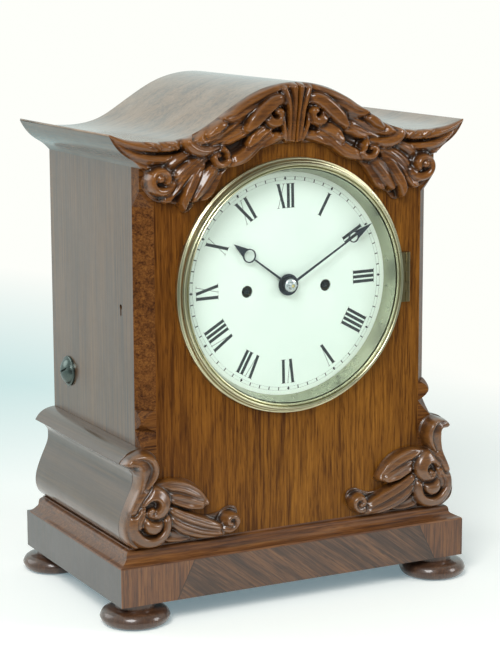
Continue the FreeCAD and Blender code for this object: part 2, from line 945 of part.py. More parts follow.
def back_frame():
    stile = block(opening_x, side_inner, back_front, case_back, base_top, case_top)
    foot = block(-opening_x, opening_x, back_front, case_back, base_top, opening_low)
    head = block(-opening_x, opening_x, back_front, case_back, opening_high, case_top)
    return group([stile, mirrored(stile), foot, head, pediment(back_front, case_back)])


nodes["back_frame"] = back_frame()

door_x = opening_x - door_gap
door_low = opening_low + door_gap
door_high = opening_high - door_gap
door_front = case_back - door_thickness
glass_x = door_x - door_stile_width + door_rebate
glass_low = door_low + door_stile_width - door_rebate
glass_high = door_high - door_stile_width + door_rebate
door_mid = (door_front + case_back) / 2
catch_x = -door_x + door_stile_width / 2
catch_z = (opening_low + opening_high) / 2


def back_door():
    rebate = block(
        -glass_x, glass_x, door_mid - door_glass_thickness / 2,
        door_mid + door_glass_thickness / 2, glass_low, glass_high,
    )
    inner = door_x - door_stile_width
    stile = block(inner, door_x, door_front, case_back, door_low, door_high)
    low = block(-inner, inner, door_front, case_back, door_low, door_low + door_stile_width)
    high = block(-inner, inner, door_front, case_back, door_high - door_stile_width, door_high)
    spindle_hole = disc(
        (catch_x, catch_z), catch_spindle_radius + running_clearance,
        door_front - overrun, case_back + overrun,
    )
    pieces = [stile, mirrored(stile).cut(spindle_hole), low, high]
    return group([piece.cut(rebate) for piece in pieces]), rebate


door_frame, door_glass = back_door()
nodes["back_door"] = door_frame
nodes["back_door_glass"] = door_glass


# Butt hinges: the middle knuckle is the door's, the outer ones and the pin are the case's
def butt_hinge(middle_z):
    third = door_hinge_height / 3
    low = middle_z - door_hinge_height / 2
    axis_y = case_back + door_hinge_proud
    axis_x = opening_x
    pin = post(axis_x, axis_y, hinge_pin_radius, low, low + door_hinge_height)
    bore = post(
        axis_x, axis_y, hinge_pin_radius + running_clearance, low - overrun,
        low + door_hinge_height + overrun,
    )
    leaf_back = case_back + door_hinge_leaf_thickness
    fixed_leaf = block(
        axis_x + door_gap / 2, axis_x + door_hinge_leaf_width, case_back, leaf_back,
        low, low + door_hinge_height,
    )
    fixed = [fixed_leaf]
    for start in (low, low + 2 * third):
        knuckle = post(axis_x, axis_y, door_hinge_radius, start, start + third)
        web = block(
            axis_x, axis_x + door_hinge_radius + door_gap, case_back, axis_y, start, start + third
        )
        fixed.append(knuckle.fuse(web))
    fixed_solid = fixed[0].multiFuse(fixed[1:] + [pin])
    middle_low = low + third + door_hinge_gap
    middle_high = low + 2 * third - door_hinge_gap
    clear = block(
        axis_x - door_hinge_leaf_width, axis_x + door_hinge_radius + door_gap * 2,
        case_back - overrun, axis_y + door_hinge_radius + overrun,
        low + third, low + 2 * third,
    )
    fixed_solid = fixed_solid.cut(clear).fuse(pin)
    moving = post(axis_x, axis_y, door_hinge_radius, middle_low, middle_high)
    web = block(
        axis_x - door_hinge_leaf_width, axis_x - door_gap / 2, case_back, leaf_back,
        middle_low, middle_high,
    )
    neck = block(
        axis_x - door_hinge_radius, axis_x - door_gap / 2, case_back, axis_y,
        middle_low, middle_high,
    )
    moving_solid = moving.multiFuse([web, neck]).cut(bore)
    return fixed_solid, moving_solid


hinge_places = (opening_low + door_hinge_inset, opening_high - door_hinge_inset)
hinges = [butt_hinge(place) for place in hinge_places]
nodes["back_door_hinges"] = group(pair[0] for pair in hinges)
nodes["back_door_hinge_leaves"] = group(pair[1] for pair in hinges)


def back_door_catch():
    centre = (catch_x, catch_z)
    tongue_back = back_front - catch_tongue_gap
    tongue_front = tongue_back - catch_tongue_thickness
    knob_back = case_back + catch_knob_length
    spindle = disc(centre, catch_spindle_radius, tongue_front, knob_back)
    shoulder = disc(centre, catch_spindle_radius * 2, tongue_back, door_front)
    knob = disc(centre, catch_knob_radius, case_back, knob_back)
    tongue = block(
        catch_x - catch_tongue_width / 2, catch_x + catch_tongue_width / 2,
        tongue_front, tongue_back, catch_z - catch_tongue_width / 2,
        catch_z + catch_tongue_length,
    )
    return spindle.multiFuse([shoulder, knob, tongue])


nodes["back_door_catch"] = back_door_catch()

# Bezel with its glass, sight ring, hinge and eye
hinge_y = case_front - bezel_hinge_proud


def turned_ring(points, centre_z):
    corners = [point(r, y, 0) for r, y in points]
    face = Part.Face(Part.makePolygon(corners + corners[:1]))
    solid = face.revolve(point(0, 0, 0), point(0, 1, 0), 360)
    solid.translate(point(0, 0, centre_z))
    return solid


def bezel_ring():
    band = bezel_outer_radius - bezel_inner_radius
    roll = [
        (bezel_inner_radius + r * band, case_front - y * bezel_height)
        for r, y in bezel_roll_shares
    ]
    seat_y = bezel_front + glass_setback
    edges = [
        (bezel_outer_radius, case_front),
        (bezel_outer_radius, case_front - bezel_band_height),
    ]
    inner_lip = (bezel_inner_radius, seat_y)
    seat_out = (glass_radius, seat_y)
    seat_in = (glass_radius, seat_y + glass_thickness)
    back_in = (bezel_inner_radius, seat_y + glass_thickness)
    foot = (bezel_inner_radius, case_front)
    outline = [edges[0], edges[1]] + roll[1:] + [inner_lip, seat_out, seat_in, back_in, foot]
    ring = turned_ring(outline, dial_z)
    pocket = block(
        bezel_inner_radius, bezel_hinge_offset, hinge_y - bezel_leaf_thickness / 2,
        hinge_y + bezel_leaf_thickness / 2, dial_z - bezel_hinge_height / 2,
        dial_z + bezel_hinge_height / 2,
    )
    pocket = pocket.cut(
        disc(dial_centre, bezel_outer_radius - bezel_leaf_thickness, bezel_front, case_front)
    )
    return ring.cut(pocket)


nodes["bezel_ring"] = bezel_ring()
glass_front = bezel_front + glass_setback
glass_back = glass_front + glass_thickness
nodes["bezel_glass"] = disc(dial_centre, glass_radius, glass_front, glass_back)
sight_back_y = dial_front - sight_gap
nodes["sight_ring"] = turned_ring(
    [
        (sight_front_radius, glass_back),
        (sight_front_radius - sight_thickness, glass_back),
        (sight_back_radius - sight_thickness, sight_back_y),
        (sight_back_radius, sight_back_y),
    ],
    dial_z,
)


def bezel_hinge():
    low = dial_z - bezel_hinge_height / 2
    fifth = bezel_hinge_height / 5
    axis_x = bezel_hinge_offset
    pin = post(axis_x, hinge_y, hinge_pin_radius, low, low + bezel_hinge_height)
    bore = post(
        axis_x, hinge_y, hinge_pin_radius + running_clearance, low - overrun,
        low + bezel_hinge_height + overrun,
    )
    base_plate = block(
        axis_x - bezel_knuckle_radius, axis_x + bezel_plate_width,
        case_front - bezel_plate_thickness, case_front, low, low + bezel_hinge_height,
    )
    fixed = [base_plate]
    moving = []
    for i in range(5):
        start = low + i * fifth
        if i % 2 == 0:
            knuckle = post(axis_x, hinge_y, bezel_knuckle_radius, start, start + fifth)
            web = block(
                axis_x, axis_x + bezel_knuckle_radius, hinge_y, case_front, start, start + fifth
            )
            fixed.append(knuckle.fuse(web))
        else:
            start = start + bezel_knuckle_gap
            end = start + fifth - 2 * bezel_knuckle_gap
            knuckle = post(axis_x, hinge_y, bezel_knuckle_radius, start, end)
            arm = block(
                bezel_inner_radius, axis_x, hinge_y - bezel_leaf_thickness / 2,
                hinge_y + bezel_leaf_thickness / 2, start, end,
            )
            moving.append(knuckle.fuse(arm))
    arm_back = block(
        bezel_inner_radius, axis_x - bezel_knuckle_radius - bezel_knuckle_gap,
        hinge_y - bezel_leaf_thickness / 2, hinge_y + bezel_leaf_thickness / 2,
        low, low + bezel_hinge_height,
    )
    moving_solid = arm_back.multiFuse(moving).cut(bore)
    hollow = disc(
        dial_centre, bezel_outer_radius - bezel_leaf_thickness, bezel_front, case_front
    )
    return fixed[0].multiFuse(fixed[1:] + [pin]), moving_solid.cut(hollow)


hinge_fixed, hinge_moving = bezel_hinge()
nodes["bezel_hinge_plate"] = hinge_fixed
nodes["bezel_hinge_leaf"] = hinge_moving

bolt_y = case_front + bolt_setback


def bezel_eye():
    arm = block(
        -eye_outer, -eye_inner, case_front, case_front + eye_length,
        eye_z - eye_height / 2, eye_z + eye_height / 2,
    )
    hole = block(
        -eye_outer - overrun, overrun - eye_inner,
        bolt_y - bolt_width / 2 - bolt_gap, bolt_y + bolt_width / 2 + bolt_gap,
        eye_z - bolt_height / 2 - bolt_gap, eye_z + bolt_height / 2 + bolt_gap,
    )
    return arm.cut(hole)


nodes["bezel_catch_eye"] = bezel_eye()


def lock_bolt():
    nose = -eye_outer - bolt_stand_off
    return block(
        nose - bolt_length, nose, bolt_y - bolt_width / 2, bolt_y + bolt_width / 2,
        eye_z - bolt_height / 2, eye_z + bolt_height / 2,
    )


def case_lock():
    body = block(
        -side_inner, lock_reach - side_inner, corner_back, corner_back + lock_depth,
        lock_z - lock_height / 2, lock_z + lock_height / 2,
    )
    channel = block(
        -side_inner - overrun, lock_reach - side_inner + overrun,
        bolt_y - bolt_width / 2 - running_clearance, bolt_y + bolt_width / 2 + running_clearance,
        eye_z - bolt_height / 2 - running_clearance, eye_z + bolt_height / 2 + running_clearance,
    )
    keyway = rail(
        keyhole_y, lock_z, keyhole_radius, -side_inner - overrun, lock_reach - side_inner - overrun
    )
    return body.cut(channel).cut(keyway)


nodes["lock_bolt"] = lock_bolt()
nodes["case_lock"] = case_lock()

# Places of the arbors, as seen from the front
centre = dial_centre
going_fusee_at = (fusee_offset, dial_z - fusee_drop)
strike_fusee_at = (-fusee_offset, dial_z - fusee_drop)
going_barrel_at = (barrel_offset, dial_z - barrel_drop)
strike_barrel_at = (-barrel_offset, dial_z - barrel_drop)
great_distance = math.hypot(fusee_offset, fusee_drop)
great_module = 2 * great_distance / (going_great_teeth + centre_pinion_leaves)
centre_module = 2 * third_distance / (centre_teeth + third_pinion_leaves)
escape_distance = third_escape_module * (third_teeth + escape_pinion_leaves) / 2
third_rise = (escape_rise**2 + third_distance**2 - escape_distance**2) / (2 * escape_rise)
third_offset = math.sqrt(third_distance**2 - third_rise**2)
third_at = (third_offset, dial_z + third_rise)
escape_at = (0, dial_z + escape_rise)
anchor_at = (0, dial_z + anchor_rise)
motion_distance = motion_module * (cannon_teeth + minute_teeth) / 2
hour_module = 2 * motion_distance / (minute_pinion_leaves + hour_teeth)
minute_at = polar(centre, motion_distance, minute_wheel_angle)
pin_distance = strike_great_module * (strike_great_teeth + pin_pinion_leaves) / 2
pin_at = polar(strike_fusee_at, pin_distance, pin_angle)
gathering_distance = pin_module * (pin_teeth + gathering_pinion_leaves) / 2
gathering_at = polar(pin_at, gathering_distance, gathering_angle)
warning_distance = strike_module * (gathering_teeth + warning_pinion_leaves) / 2
warning_at = polar(gathering_at, warning_distance, warning_angle)
fly_distance = strike_module * (warning_teeth + fly_pinion_leaves) / 2
fly_at = polar(warning_at, fly_distance, fly_angle)
hammer_at = (-hammer_arbor_offset, dial_z + hammer_arbor_rise)


# Tooth outline: straight flanks between a base width and a tip width
def tooth_points(at, teeth, module, phase, tip, root, base_width_share, tip_width_share):
    pitch = 360.0 / teeth
    radius = module * teeth / 2
    tip_radius = radius + module * tip
    root_radius = radius - module * root
    places = []
    for i in range(teeth):
        middle = phase + i * pitch
        places.append(polar(at, root_radius, middle - pitch * base_width_share / 2))
        places.append(polar(at, tip_radius, middle - pitch * tip_width_share / 2))
        places.append(polar(at, tip_radius, middle + pitch * tip_width_share / 2))
        places.append(polar(at, root_radius, middle + pitch * base_width_share / 2))
    return places


def direction(start, end):
    return math.degrees(math.atan2(end[1] - start[1], end[0] - start[0]))


# The phase that puts a gap of the follower over a tooth of the driver at their line
def mesh_phase(phase, teeth, at, follower_teeth, follower_at):
    line = direction(at, follower_at)
    pitch = 360.0 / teeth
    lead = (phase - line) % pitch
    gap = 180.0 / follower_teeth
    return line + 180.0 + gap - lead * teeth / follower_teeth


def window(at, inner, outer, start, end, front):
    half = (start + end) / 2
    places = {}
    for radius in (inner, outer):
        for angle in (start, half, end):
            x, z = polar(at, radius, angle)
            places[radius, angle] = point(x, front, z)
    edges = [
        Part.Arc(places[inner, start], places[inner, half], places[inner, end]).toShape(),
        Part.makeLine(places[inner, end], places[outer, end]),
        Part.Arc(places[outer, end], places[outer, half], places[outer, start]).toShape(),
        Part.makeLine(places[outer, start], places[inner, start]),
    ]
    return Part.Wire(edges)


def wheel(at, teeth, module, phase, front, back, bore, hub, arms=4):
    outline = tooth_points(
        at, teeth, module, phase, tip_share, root_share, tooth_base_share, tooth_tip_share
    )
    rim = module * teeth / 2 - module * root_share - rim_width
    windows = []
    if arms and rim > hub + spoke_width:
        for i in range(arms):
            outer_half = math.degrees(spoke_width / 2 / hub)
            start = i * 360.0 / arms + outer_half
            end = (i + 1) * 360.0 / arms - outer_half
            windows.append(window(at, hub, rim, start, end, front))
    solid = plate(outline, front, back, windows)
    return solid.cut(disc(at, bore, front - overrun, back + overrun))


def pinion(at, leaves, module, phase, front, back):
    outline = tooth_points(
        at, leaves, module, phase, leaf_tip_share, leaf_root_share, leaf_base_share,
        leaf_tip_width_share,
    )
    return plate(outline, front, back)


def pinion_core(leaves, module):
    return module * leaves / 2 - module * leaf_root_share


# An arbor between the plates with a pivot at each end
def arbor(at, radius=arbor_radius, pivot=pivot_radius, thin=None, thin_front=0, thin_back=0):
    front = plate_front_back + end_shake
    back = plate_back - end_shake
    solid = disc(at, radius, front, back)
    if thin is not None and thin < radius:
        waist = tube(at, radius + overrun, thin, thin_front, thin_back)
        solid = solid.cut(waist)
    pivots = disc(at, pivot, plate_front + end_shake, plate_back_back - end_shake)
    return solid.fuse(pivots)


def collet(at, front, back):
    return disc(at, arbor_radius + collet_growth, front, back)


# Axial places between the plates
great_front = plate_back - end_shake - 2 * great_wheel_thickness - pinion_overlap
great_back = great_front + great_wheel_thickness
centre_wheel_front = plate_front_back + pinion_overlap
centre_wheel_back = centre_wheel_front + wheel_thickness
third_wheel_front = centre_wheel_back + pinion_overlap
third_wheel_back = third_wheel_front + wheel_thickness
gathering_front = third_wheel_back + 3 * pinion_overlap
gathering_back = gathering_front + wheel_thickness
warning_front = gathering_back + 3 * pinion_overlap
warning_back = warning_front + wheel_thickness
escape_front = great_back - wheel_thickness
escape_back = escape_front + wheel_thickness
fusee_back = great_front - fusee_to_wheel
fusee_front = fusee_back - fusee_length

# Phases from one mesh to the next
going_great_phase = 0.0
centre_pinion_phase = mesh_phase(
    going_great_phase, going_great_teeth, going_fusee_at, centre_pinion_leaves, centre
)
centre_phase = 0.0
third_pinion_phase = mesh_phase(centre_phase, centre_teeth, centre, third_pinion_leaves, third_at)
third_phase = 0.0
escape_pinion_phase = mesh_phase(
    third_phase, third_teeth, third_at, escape_pinion_leaves, escape_at
)
cannon_phase = 0.0
minute_phase = mesh_phase(cannon_phase, cannon_teeth, centre, minute_teeth, minute_at)
minute_pinion_phase = 0.0
hour_phase = mesh_phase(minute_pinion_phase, minute_pinion_leaves, minute_at, hour_teeth, centre)
strike_great_phase = 0.0
pin_pinion_phase = mesh_phase(
    strike_great_phase, strike_great_teeth, strike_fusee_at, pin_pinion_leaves, pin_at
)
pin_phase = 0.0
gathering_pinion_phase = mesh_phase(
    pin_phase, pin_teeth, pin_at, gathering_pinion_leaves, gathering_at
)
gathering_phase = 0.0
warning_pinion_phase = mesh_phase(
    gathering_phase, gathering_teeth, gathering_at, warning_pinion_leaves, warning_at
)
warning_phase = 0.0
fly_pinion_phase = mesh_phase(warning_phase, warning_teeth, warning_at, fly_pinion_leaves, fly_at)


# Fusee: a hollowed cone with a groove for each turn of the line, and its winding square
def fusee(at):
    step = fusee_length / fusee_turns
    outline = [(0, fusee_back), (fusee_large_radius, fusee_back)]
    for i in range(fusee_turns):
        share = (i + 0.5) / fusee_turns
        straight = fusee_large_radius + (fusee_small_radius - fusee_large_radius) * share
        radius = straight - fusee_hollow * 4 * share * (1 - share)
        y = fusee_back - i * step
        outline.append((radius, y - step * fusee_land_share))
        outline.append((radius - fusee_groove_depth, y - step / 2))
        outline.append((radius, y - step * (1 - fusee_land_share)))
    outline.append((fusee_small_radius, fusee_front))
    outline.append((0, fusee_front))
    corners = [point(r, y, 0) for r, y in outline]
    cone = Part.Face(Part.makePolygon(corners + corners[:1]))
    cone = cone.revolve(point(0, 0, 0), point(0, 1, 0), 360)
    cone.translate(point(at[0], 0, at[1]))
    square_front = dial_front + winding_square_recess
    square_back = square_front + winding_square_length
    half = winding_square / 2
    square = block(at[0] - half, at[0] + half, square_front, square_back, at[1] - half, at[1] + half)
    stem = disc(at, fusee_arbor_radius, square_back, plate_back - end_shake)
    pivot = disc(at, arbor_radius, plate_back - end_shake, plate_back_back - end_shake)
    return cone.multiFuse([square, stem, pivot])


going_fusee = fusee(going_fusee_at)
strike_fusee = fusee(strike_fusee_at)
nodes["going_fusee"] = going_fusee
nodes["strike_fusee"] = strike_fusee
great_bore = fusee_arbor_radius + running_clearance
great_hub = fusee_arbor_radius * 3
nodes["going_great_wheel"] = wheel(
    going_fusee_at, going_great_teeth, great_module, going_great_phase,
    great_front, great_back, great_bore, great_hub,
)
nodes["strike_great_wheel"] = wheel(
    strike_fusee_at, strike_great_teeth, strike_great_module, strike_great_phase,
    great_front, great_back, great_bore, great_hub,
)


# Barrel: drum, two caps in one with it, its spring as a ring, and the arbor
def barrel(at):
    front = fusee_front - barrel_cap
    back = front + barrel_length
    hollow = disc(at, barrel_radius - barrel_wall, front + barrel_cap, back - barrel_cap)
    drum = disc(at, barrel_radius, front, back).cut(hollow)
    core = disc(at, arbor_radius * 2, front - end_shake, back + end_shake)
    pivots = disc(at, arbor_radius, plate_front + end_shake, plate_back_back - end_shake)
    spindle = core.fuse(pivots)
    drum = drum.cut(disc(at, arbor_radius * 2, front - overrun, back + overrun))
    spring = tube(
        at, barrel_radius - barrel_wall - spring_gap, spring_core_radius,
        front + barrel_cap + spring_gap, back - barrel_cap - spring_gap,
    )
    hook = block(
        at[0] + arbor_radius, at[0] + spring_core_radius, front + barrel_cap + spring_gap,
        back - barrel_cap - spring_gap, at[1] - arbor_radius, at[1] + arbor_radius,
    )
    hub = disc(at, spring_core_radius, front + barrel_cap, back - barrel_cap)
    spindle = spindle.fuse(hub)
    spring = spring.cut(hook)
    return group([drum, spindle, spring])


nodes["going_barrel"] = barrel(going_barrel_at)
nodes["strike_barrel"] = barrel(strike_barrel_at)


# Straight run of gut between the barrel and the fusee, on the outer tangent
def gut_line(side):
    fusee_at = going_fusee_at if side > 0 else strike_fusee_at
    barrel_at = going_barrel_at if side > 0 else strike_barrel_at
    middle_radius = (fusee_large_radius + fusee_small_radius) / 2 - fusee_hollow
    y_middle = (fusee_front + fusee_back) / 2
    reach = line_radius + line_gap
    span = math.hypot(fusee_at[0] - barrel_at[0], fusee_at[1] - barrel_at[1])
    base = direction(barrel_at, fusee_at)
    lean = math.degrees(math.acos((barrel_radius - middle_radius) / span))
    angle = base - side * lean
    far_radius = middle_radius + reach
    start = polar(barrel_at, barrel_radius + reach, angle)
    end = polar(fusee_at, far_radius, angle)
    a = point(start[0], y_middle, start[1])
    b = point(end[0], y_middle, end[1])
    run = b - a
    return Part.makeCylinder(line_radius, run.Length, a, run)


nodes["gut_lines"] = group([gut_line(1), gut_line(-1)])


# Going train
def centre_assembly():
    bore = arbor_radius + collet_growth
    wheel_solid = wheel(
        centre, centre_teeth, centre_module, centre_phase, centre_wheel_front,
        centre_wheel_back, bore, bore * 2,
    )
    leaves = pinion(
        centre, centre_pinion_leaves, great_module, centre_pinion_phase,
        great_front - pinion_overlap, great_back + pinion_overlap,
    )
    hub = collet(centre, centre_wheel_front, centre_wheel_back + collet_length)
    thin = pinion_core(centre_pinion_leaves, great_module)
    body = arbor(
        centre, arbor_radius, pivot_radius, thin, great_front - pinion_overlap,
        great_back + pinion_overlap,
    )
    post_front = hand_plane_minute - hand_washer_thickness - hand_nut_length
    long_post = disc(centre, centre_post_radius, post_front, plate_front_back + end_shake)
    return group([wheel_solid, body.multiFuse([leaves, hub, long_post])])


hand_plane_hour = dial_front - hour_hand_stand_off
hand_plane_minute = hand_plane_hour - hand_thickness - minute_hand_gap
nodes["centre_wheel"] = centre_assembly()


def wheel_and_pinion(
    at, teeth, module, phase, front, leaves, leaf_module, leaf_phase, leaf_front, leaf_back
):
    bore = arbor_radius + collet_growth
    wheel_solid = wheel(
        at, teeth, module, phase, front, front + wheel_thickness, bore, bore * wheel_hub_share
    )
    hub = collet(at, front, front + wheel_thickness + collet_length)
    thin = pinion_core(leaves, leaf_module)
    body = arbor(at, arbor_radius, pivot_radius, thin, leaf_front, leaf_back)
    leaf_solid = pinion(at, leaves, leaf_module, leaf_phase, leaf_front, leaf_back)
    return group([wheel_solid, body.multiFuse([leaf_solid, hub])])


nodes["third_wheel"] = wheel_and_pinion(
    third_at, third_teeth, third_escape_module, third_phase, third_wheel_front,
    third_pinion_leaves, centre_module, third_pinion_phase,
    plate_front_back + end_shake, third_wheel_front,
)


def escape_wheel():
    root = escape_radius * escape_root_share
    rise, tip, fall = escape_tooth_shares
    places = []
    pitch = 360.0 / escape_teeth
    for i in range(escape_teeth):
        angle = i * pitch
        places.append(polar(escape_at, root, angle))
        places.append(polar(escape_at, escape_radius, angle + pitch * rise))
        places.append(polar(escape_at, escape_radius, angle + pitch * tip))
        places.append(polar(escape_at, root, angle + pitch * fall))
    bore = arbor_radius + collet_growth
    windows = []
    for i in range(escape_arms):
        start = i * 360.0 / escape_arms + escape_arm_angle / 2
        end = (i + 1) * 360.0 / escape_arms - escape_arm_angle / 2
        windows.append(
            window(escape_at, bore + spoke_width / 2, root - rim_width / 2, start, end, escape_front)
        )
    wheel_solid = plate(places, escape_front, escape_back, windows)
    wheel_solid = wheel_solid.cut(
        disc(escape_at, bore, escape_front - overrun, escape_back + overrun)
    )
    hub = collet(escape_at, escape_front - collet_length, escape_back)
    leaf_front = third_wheel_front - pinion_overlap
    leaf_back = third_wheel_back + pinion_overlap
    thin = pinion_core(escape_pinion_leaves, third_escape_module)
    body = arbor(escape_at, arbor_radius, pivot_radius, thin, leaf_front, leaf_back)
    leaves = pinion(
        escape_at, escape_pinion_leaves, third_escape_module, escape_pinion_phase,
        leaf_front, leaf_back,
    )
    return group([wheel_solid, body.multiFuse([leaves, hub])])


nodes["escape_wheel"] = escape_wheel()

# Anchor with its crutch, the back cock and the pendulum
crutch_front = plate_back_back + crutch_clear_of_plate
cock_front = plate_back_back + cock_stand_off
cock_back = cock_front + cock_plate_thickness


def anchor():
    clear = escape_radius + anchor_wheel_gap
    left = polar(escape_at, clear, 90 + math.degrees(math.asin(anchor_span / clear)))
    right = (-left[0], left[1])
    arch = anchor_at[1] - escape_at[1] - clear
    high = anchor_at[1] + anchor_arm_width / 2
    low = escape_at[1] + clear + min(arch, anchor_wheel_gap) / 2
    outline = [
        (left[0] - anchor_arm_width, left[1] - anchor_pallet_drop / 2),
        (left[0] - anchor_wheel_gap, left[1] - anchor_pallet_drop / 2),
        (left[0], left[1] + anchor_wheel_gap),
        (-anchor_arm_width / 2, low),
        (anchor_arm_width / 2, low),
        (right[0], right[1] + anchor_wheel_gap),
        (right[0] + anchor_wheel_gap, right[1] - anchor_pallet_drop / 2),
        (right[0] + anchor_arm_width, right[1] - anchor_pallet_drop / 2),
        (anchor_arm_width, high),
        (-anchor_arm_width, high),
    ]
    body_front = escape_front - (anchor_thickness - wheel_thickness) / 2
    pallets = plate(outline, body_front, body_front + anchor_thickness)
    spindle = disc(anchor_at, arbor_radius, plate_front_back + end_shake, cock_front - end_shake)
    pivots = disc(anchor_at, pivot_radius, plate_front + end_shake, cock_back - end_shake)
    half = crutch_width / 2
    stem = block(
        -half, half, crutch_front, crutch_front + crutch_thickness,
        anchor_at[1] - crutch_length, anchor_at[1],
    )
    inner = rod_radius + crutch_prong_gap
    prongs = []
    for side in (-1, 1):
        edges = sorted((side * inner, side * (inner + crutch_prong)))
        prongs.append(
            block(
                edges[0], edges[1], crutch_front, pendulum_y + rod_radius,
                anchor_at[1] - crutch_length, anchor_at[1] - crutch_length + crutch_width,
            )
        )
    foot = block(
        -inner - crutch_prong, inner + crutch_prong, crutch_front,
        crutch_front + crutch_thickness, anchor_at[1] - crutch_length,
        anchor_at[1] - crutch_length + crutch_width,
    )
    return pallets.multiFuse([spindle, pivots, stem, foot] + prongs)


nodes["anchor"] = anchor()


def back_cock():
    low = anchor_at[1] - cock_drop
    high = anchor_at[1] + cock_rise
    face = block(-cock_half_width, cock_half_width, cock_front, cock_back, low, high)
    face = face.cut(disc(anchor_at, pivot_radius + running_clearance, cock_front - overrun,
                         cock_back + overrun))
    feet = []
    for side in (-1, 1):
        edges = sorted((side * cock_half_width, side * (cock_half_width - cock_foot_width)))
        feet.append(block(edges[0], edges[1], plate_back_back, cock_front, low, high))
    arm = block(
        -cock_arm_half_width, cock_arm_half_width, cock_back, pendulum_y + suspension_width,
        high - cock_arm_height, high,
    )
    strip = block(
        -suspension_thickness / 2, suspension_thickness / 2,
        pendulum_y - suspension_width / 2, pendulum_y + suspension_width / 2,
        anchor_at[1] + suspension_gap / 2, high - cock_arm_height,
    )
    return group([face.multiFuse(feet + [arm]), strip])


nodes["back_cock"] = back_cock()


def pendulum():
    bend = anchor_at[1]
    strip_low = bend - suspension_length
    strip = block(
        -suspension_thickness / 2, suspension_thickness / 2,
        pendulum_y - suspension_width / 2, pendulum_y + suspension_width / 2,
        strip_low, bend - suspension_gap / 2,
    )
    bob_z = bend - pendulum_length
    tail_low = bob_z - bob_radius - rating_nut_height - rating_tail
    rod = post(0, pendulum_y, rod_radius, tail_low, strip_low)
    half = bob_thickness / 2
    edge = bob_edge_thickness / 2
    face = [(bob_radius * r, half * y) for r, y in bob_face_shares] + [(bob_radius, edge)]
    outline = [(r, -y) for r, y in face] + list(reversed(face))
    corners = [point(r, y, 0) for r, y in outline]
    bob = Part.Face(Part.makePolygon(corners + corners[:1]))
    bob = bob.revolve(point(0, 0, 0), point(0, 1, 0), 360)
    bob.translate(point(0, pendulum_y, bob_z))
    bob = bob.cut(post(0, pendulum_y, rod_radius, tail_low, strip_low))
    nut_top = bob_z - bob_radius
    nut = post(0, pendulum_y, rating_nut_radius, nut_top - rating_nut_height, nut_top)
    nut = nut.cut(post(0, pendulum_y, rod_radius, tail_low, strip_low))
    return group([strip, rod, bob, nut])


nodes["pendulum"] = pendulum()

# Motion work and hands
motion_front = plate_front - dial_to_plate * motion_place_share
cannon_bore = centre_post_radius + running_clearance
cannon_outer = cannon_bore + pipe_wall
hour_bore = cannon_outer + running_clearance
hour_outer = hour_bore + pipe_wall


def cannon_pinion():
    teeth = wheel(
        centre, cannon_teeth, motion_module, cannon_phase, motion_front,
        motion_front + wheel_thickness, cannon_bore, cannon_outer, 0,
    )
    pipe = tube(
        centre, cannon_outer, cannon_bore, hand_plane_minute - hand_thickness,
        plate_front - end_shake,
    )
    return teeth.fuse(pipe)


nodes["cannon_pinion"] = cannon_pinion()
hour_front = motion_front - pinion_overlap - 2 * wheel_thickness


def hour_wheel():
    teeth = wheel(
        centre, hour_teeth, hour_module, hour_phase, hour_front, hour_front + wheel_thickness,
        hour_bore, hour_outer, 4,
    )
    pipe = tube(
        centre, hour_outer, hour_bore, hand_plane_hour - hand_thickness,
        hour_front + wheel_thickness,
    )
    return teeth.fuse(pipe)


nodes["hour_wheel"] = hour_wheel()


def minute_wheel():
    teeth = wheel(
        minute_at, minute_teeth, motion_module, minute_phase, motion_front,
        motion_front + wheel_thickness, pivot_radius, arbor_radius, 0,
    )
    leaves = pinion(
        minute_at, minute_pinion_leaves, hour_module, minute_pinion_phase,
        hour_front - wheel_thickness / 2, motion_front,
    )
    hollow = disc(minute_at, minute_stud_radius + running_clearance,
                  hour_front - wheel_thickness - overrun, motion_front + wheel_thickness + overrun)
    leaves = leaves.cut(hollow)
    hub = tube(
        minute_at, minute_wheel_hub_radius, minute_stud_radius + running_clearance,
        motion_front, plate_front - end_shake,
    )
    return teeth.fuse(hub).fuse(leaves)


nodes["minute_wheel"] = minute_wheel()


# A hand: tapered tail, slender arm, ring and pointed head, laid along +X and turned
def hand(length, ring_place, ring_radius, head_width, hub_radius, bore, back, angle):
    front = back - hand_thickness
    origin = (0, 0)
    half = hand_arm_width / 2
    arm = plate(
        [(0, -hand_tail_width / 2), (ring_place, -half), (ring_place, half),
         (0, hand_tail_width / 2)],
        front, back,
    )
    ring_at = (ring_place, 0)
    ring = disc(ring_at, ring_radius, front, back)
    hole = disc(ring_at, ring_radius - hand_ring_band, front - overrun, back + overrun)
    reach = math.sqrt(max(ring_radius**2 - (head_width / 2) ** 2, 0))
    head = plate(
        [(ring_place + reach, -head_width / 2), (length, 0), (ring_place + reach, head_width / 2)],
        front, back,
    )
    hub = disc(origin, hub_radius, front, back)
    solid = arm.multiFuse([ring, head, hub]).cut(hole)
    solid = solid.cut(disc(origin, bore, front - overrun, back + overrun))
    solid.rotate(point(0, 0, 0), point(0, 1, 0), angle - 90.0)
    solid.translate(point(0, 0, dial_z))
    return solid


nodes["hour_hand"] = hand(
    hour_hand_length, hour_ring_place, hour_ring_radius, hour_head_width, hour_hub_radius,
    hour_outer, hand_plane_hour, hour_hand_angle,
)
nodes["minute_hand"] = hand(
    minute_hand_length, minute_ring_place, minute_ring_radius, minute_head_width,
    minute_hub_radius, cannon_outer, hand_plane_minute, minute_hand_angle,
)


def hand_collet():
    back = hand_plane_minute - hand_thickness
    front = back - hand_washer_thickness
    nut_front = front - hand_nut_length
    washer = tube(centre, hand_washer_radius, centre_post_radius, front, back)
    nut = tube(centre, hand_nut_radius, centre_post_radius, nut_front, front)
    return washer.fuse(nut).cut(
        disc(centre, centre_post_radius + running_clearance, nut_front - overrun, back + overrun)
    )


nodes["hand_collet"] = hand_collet()


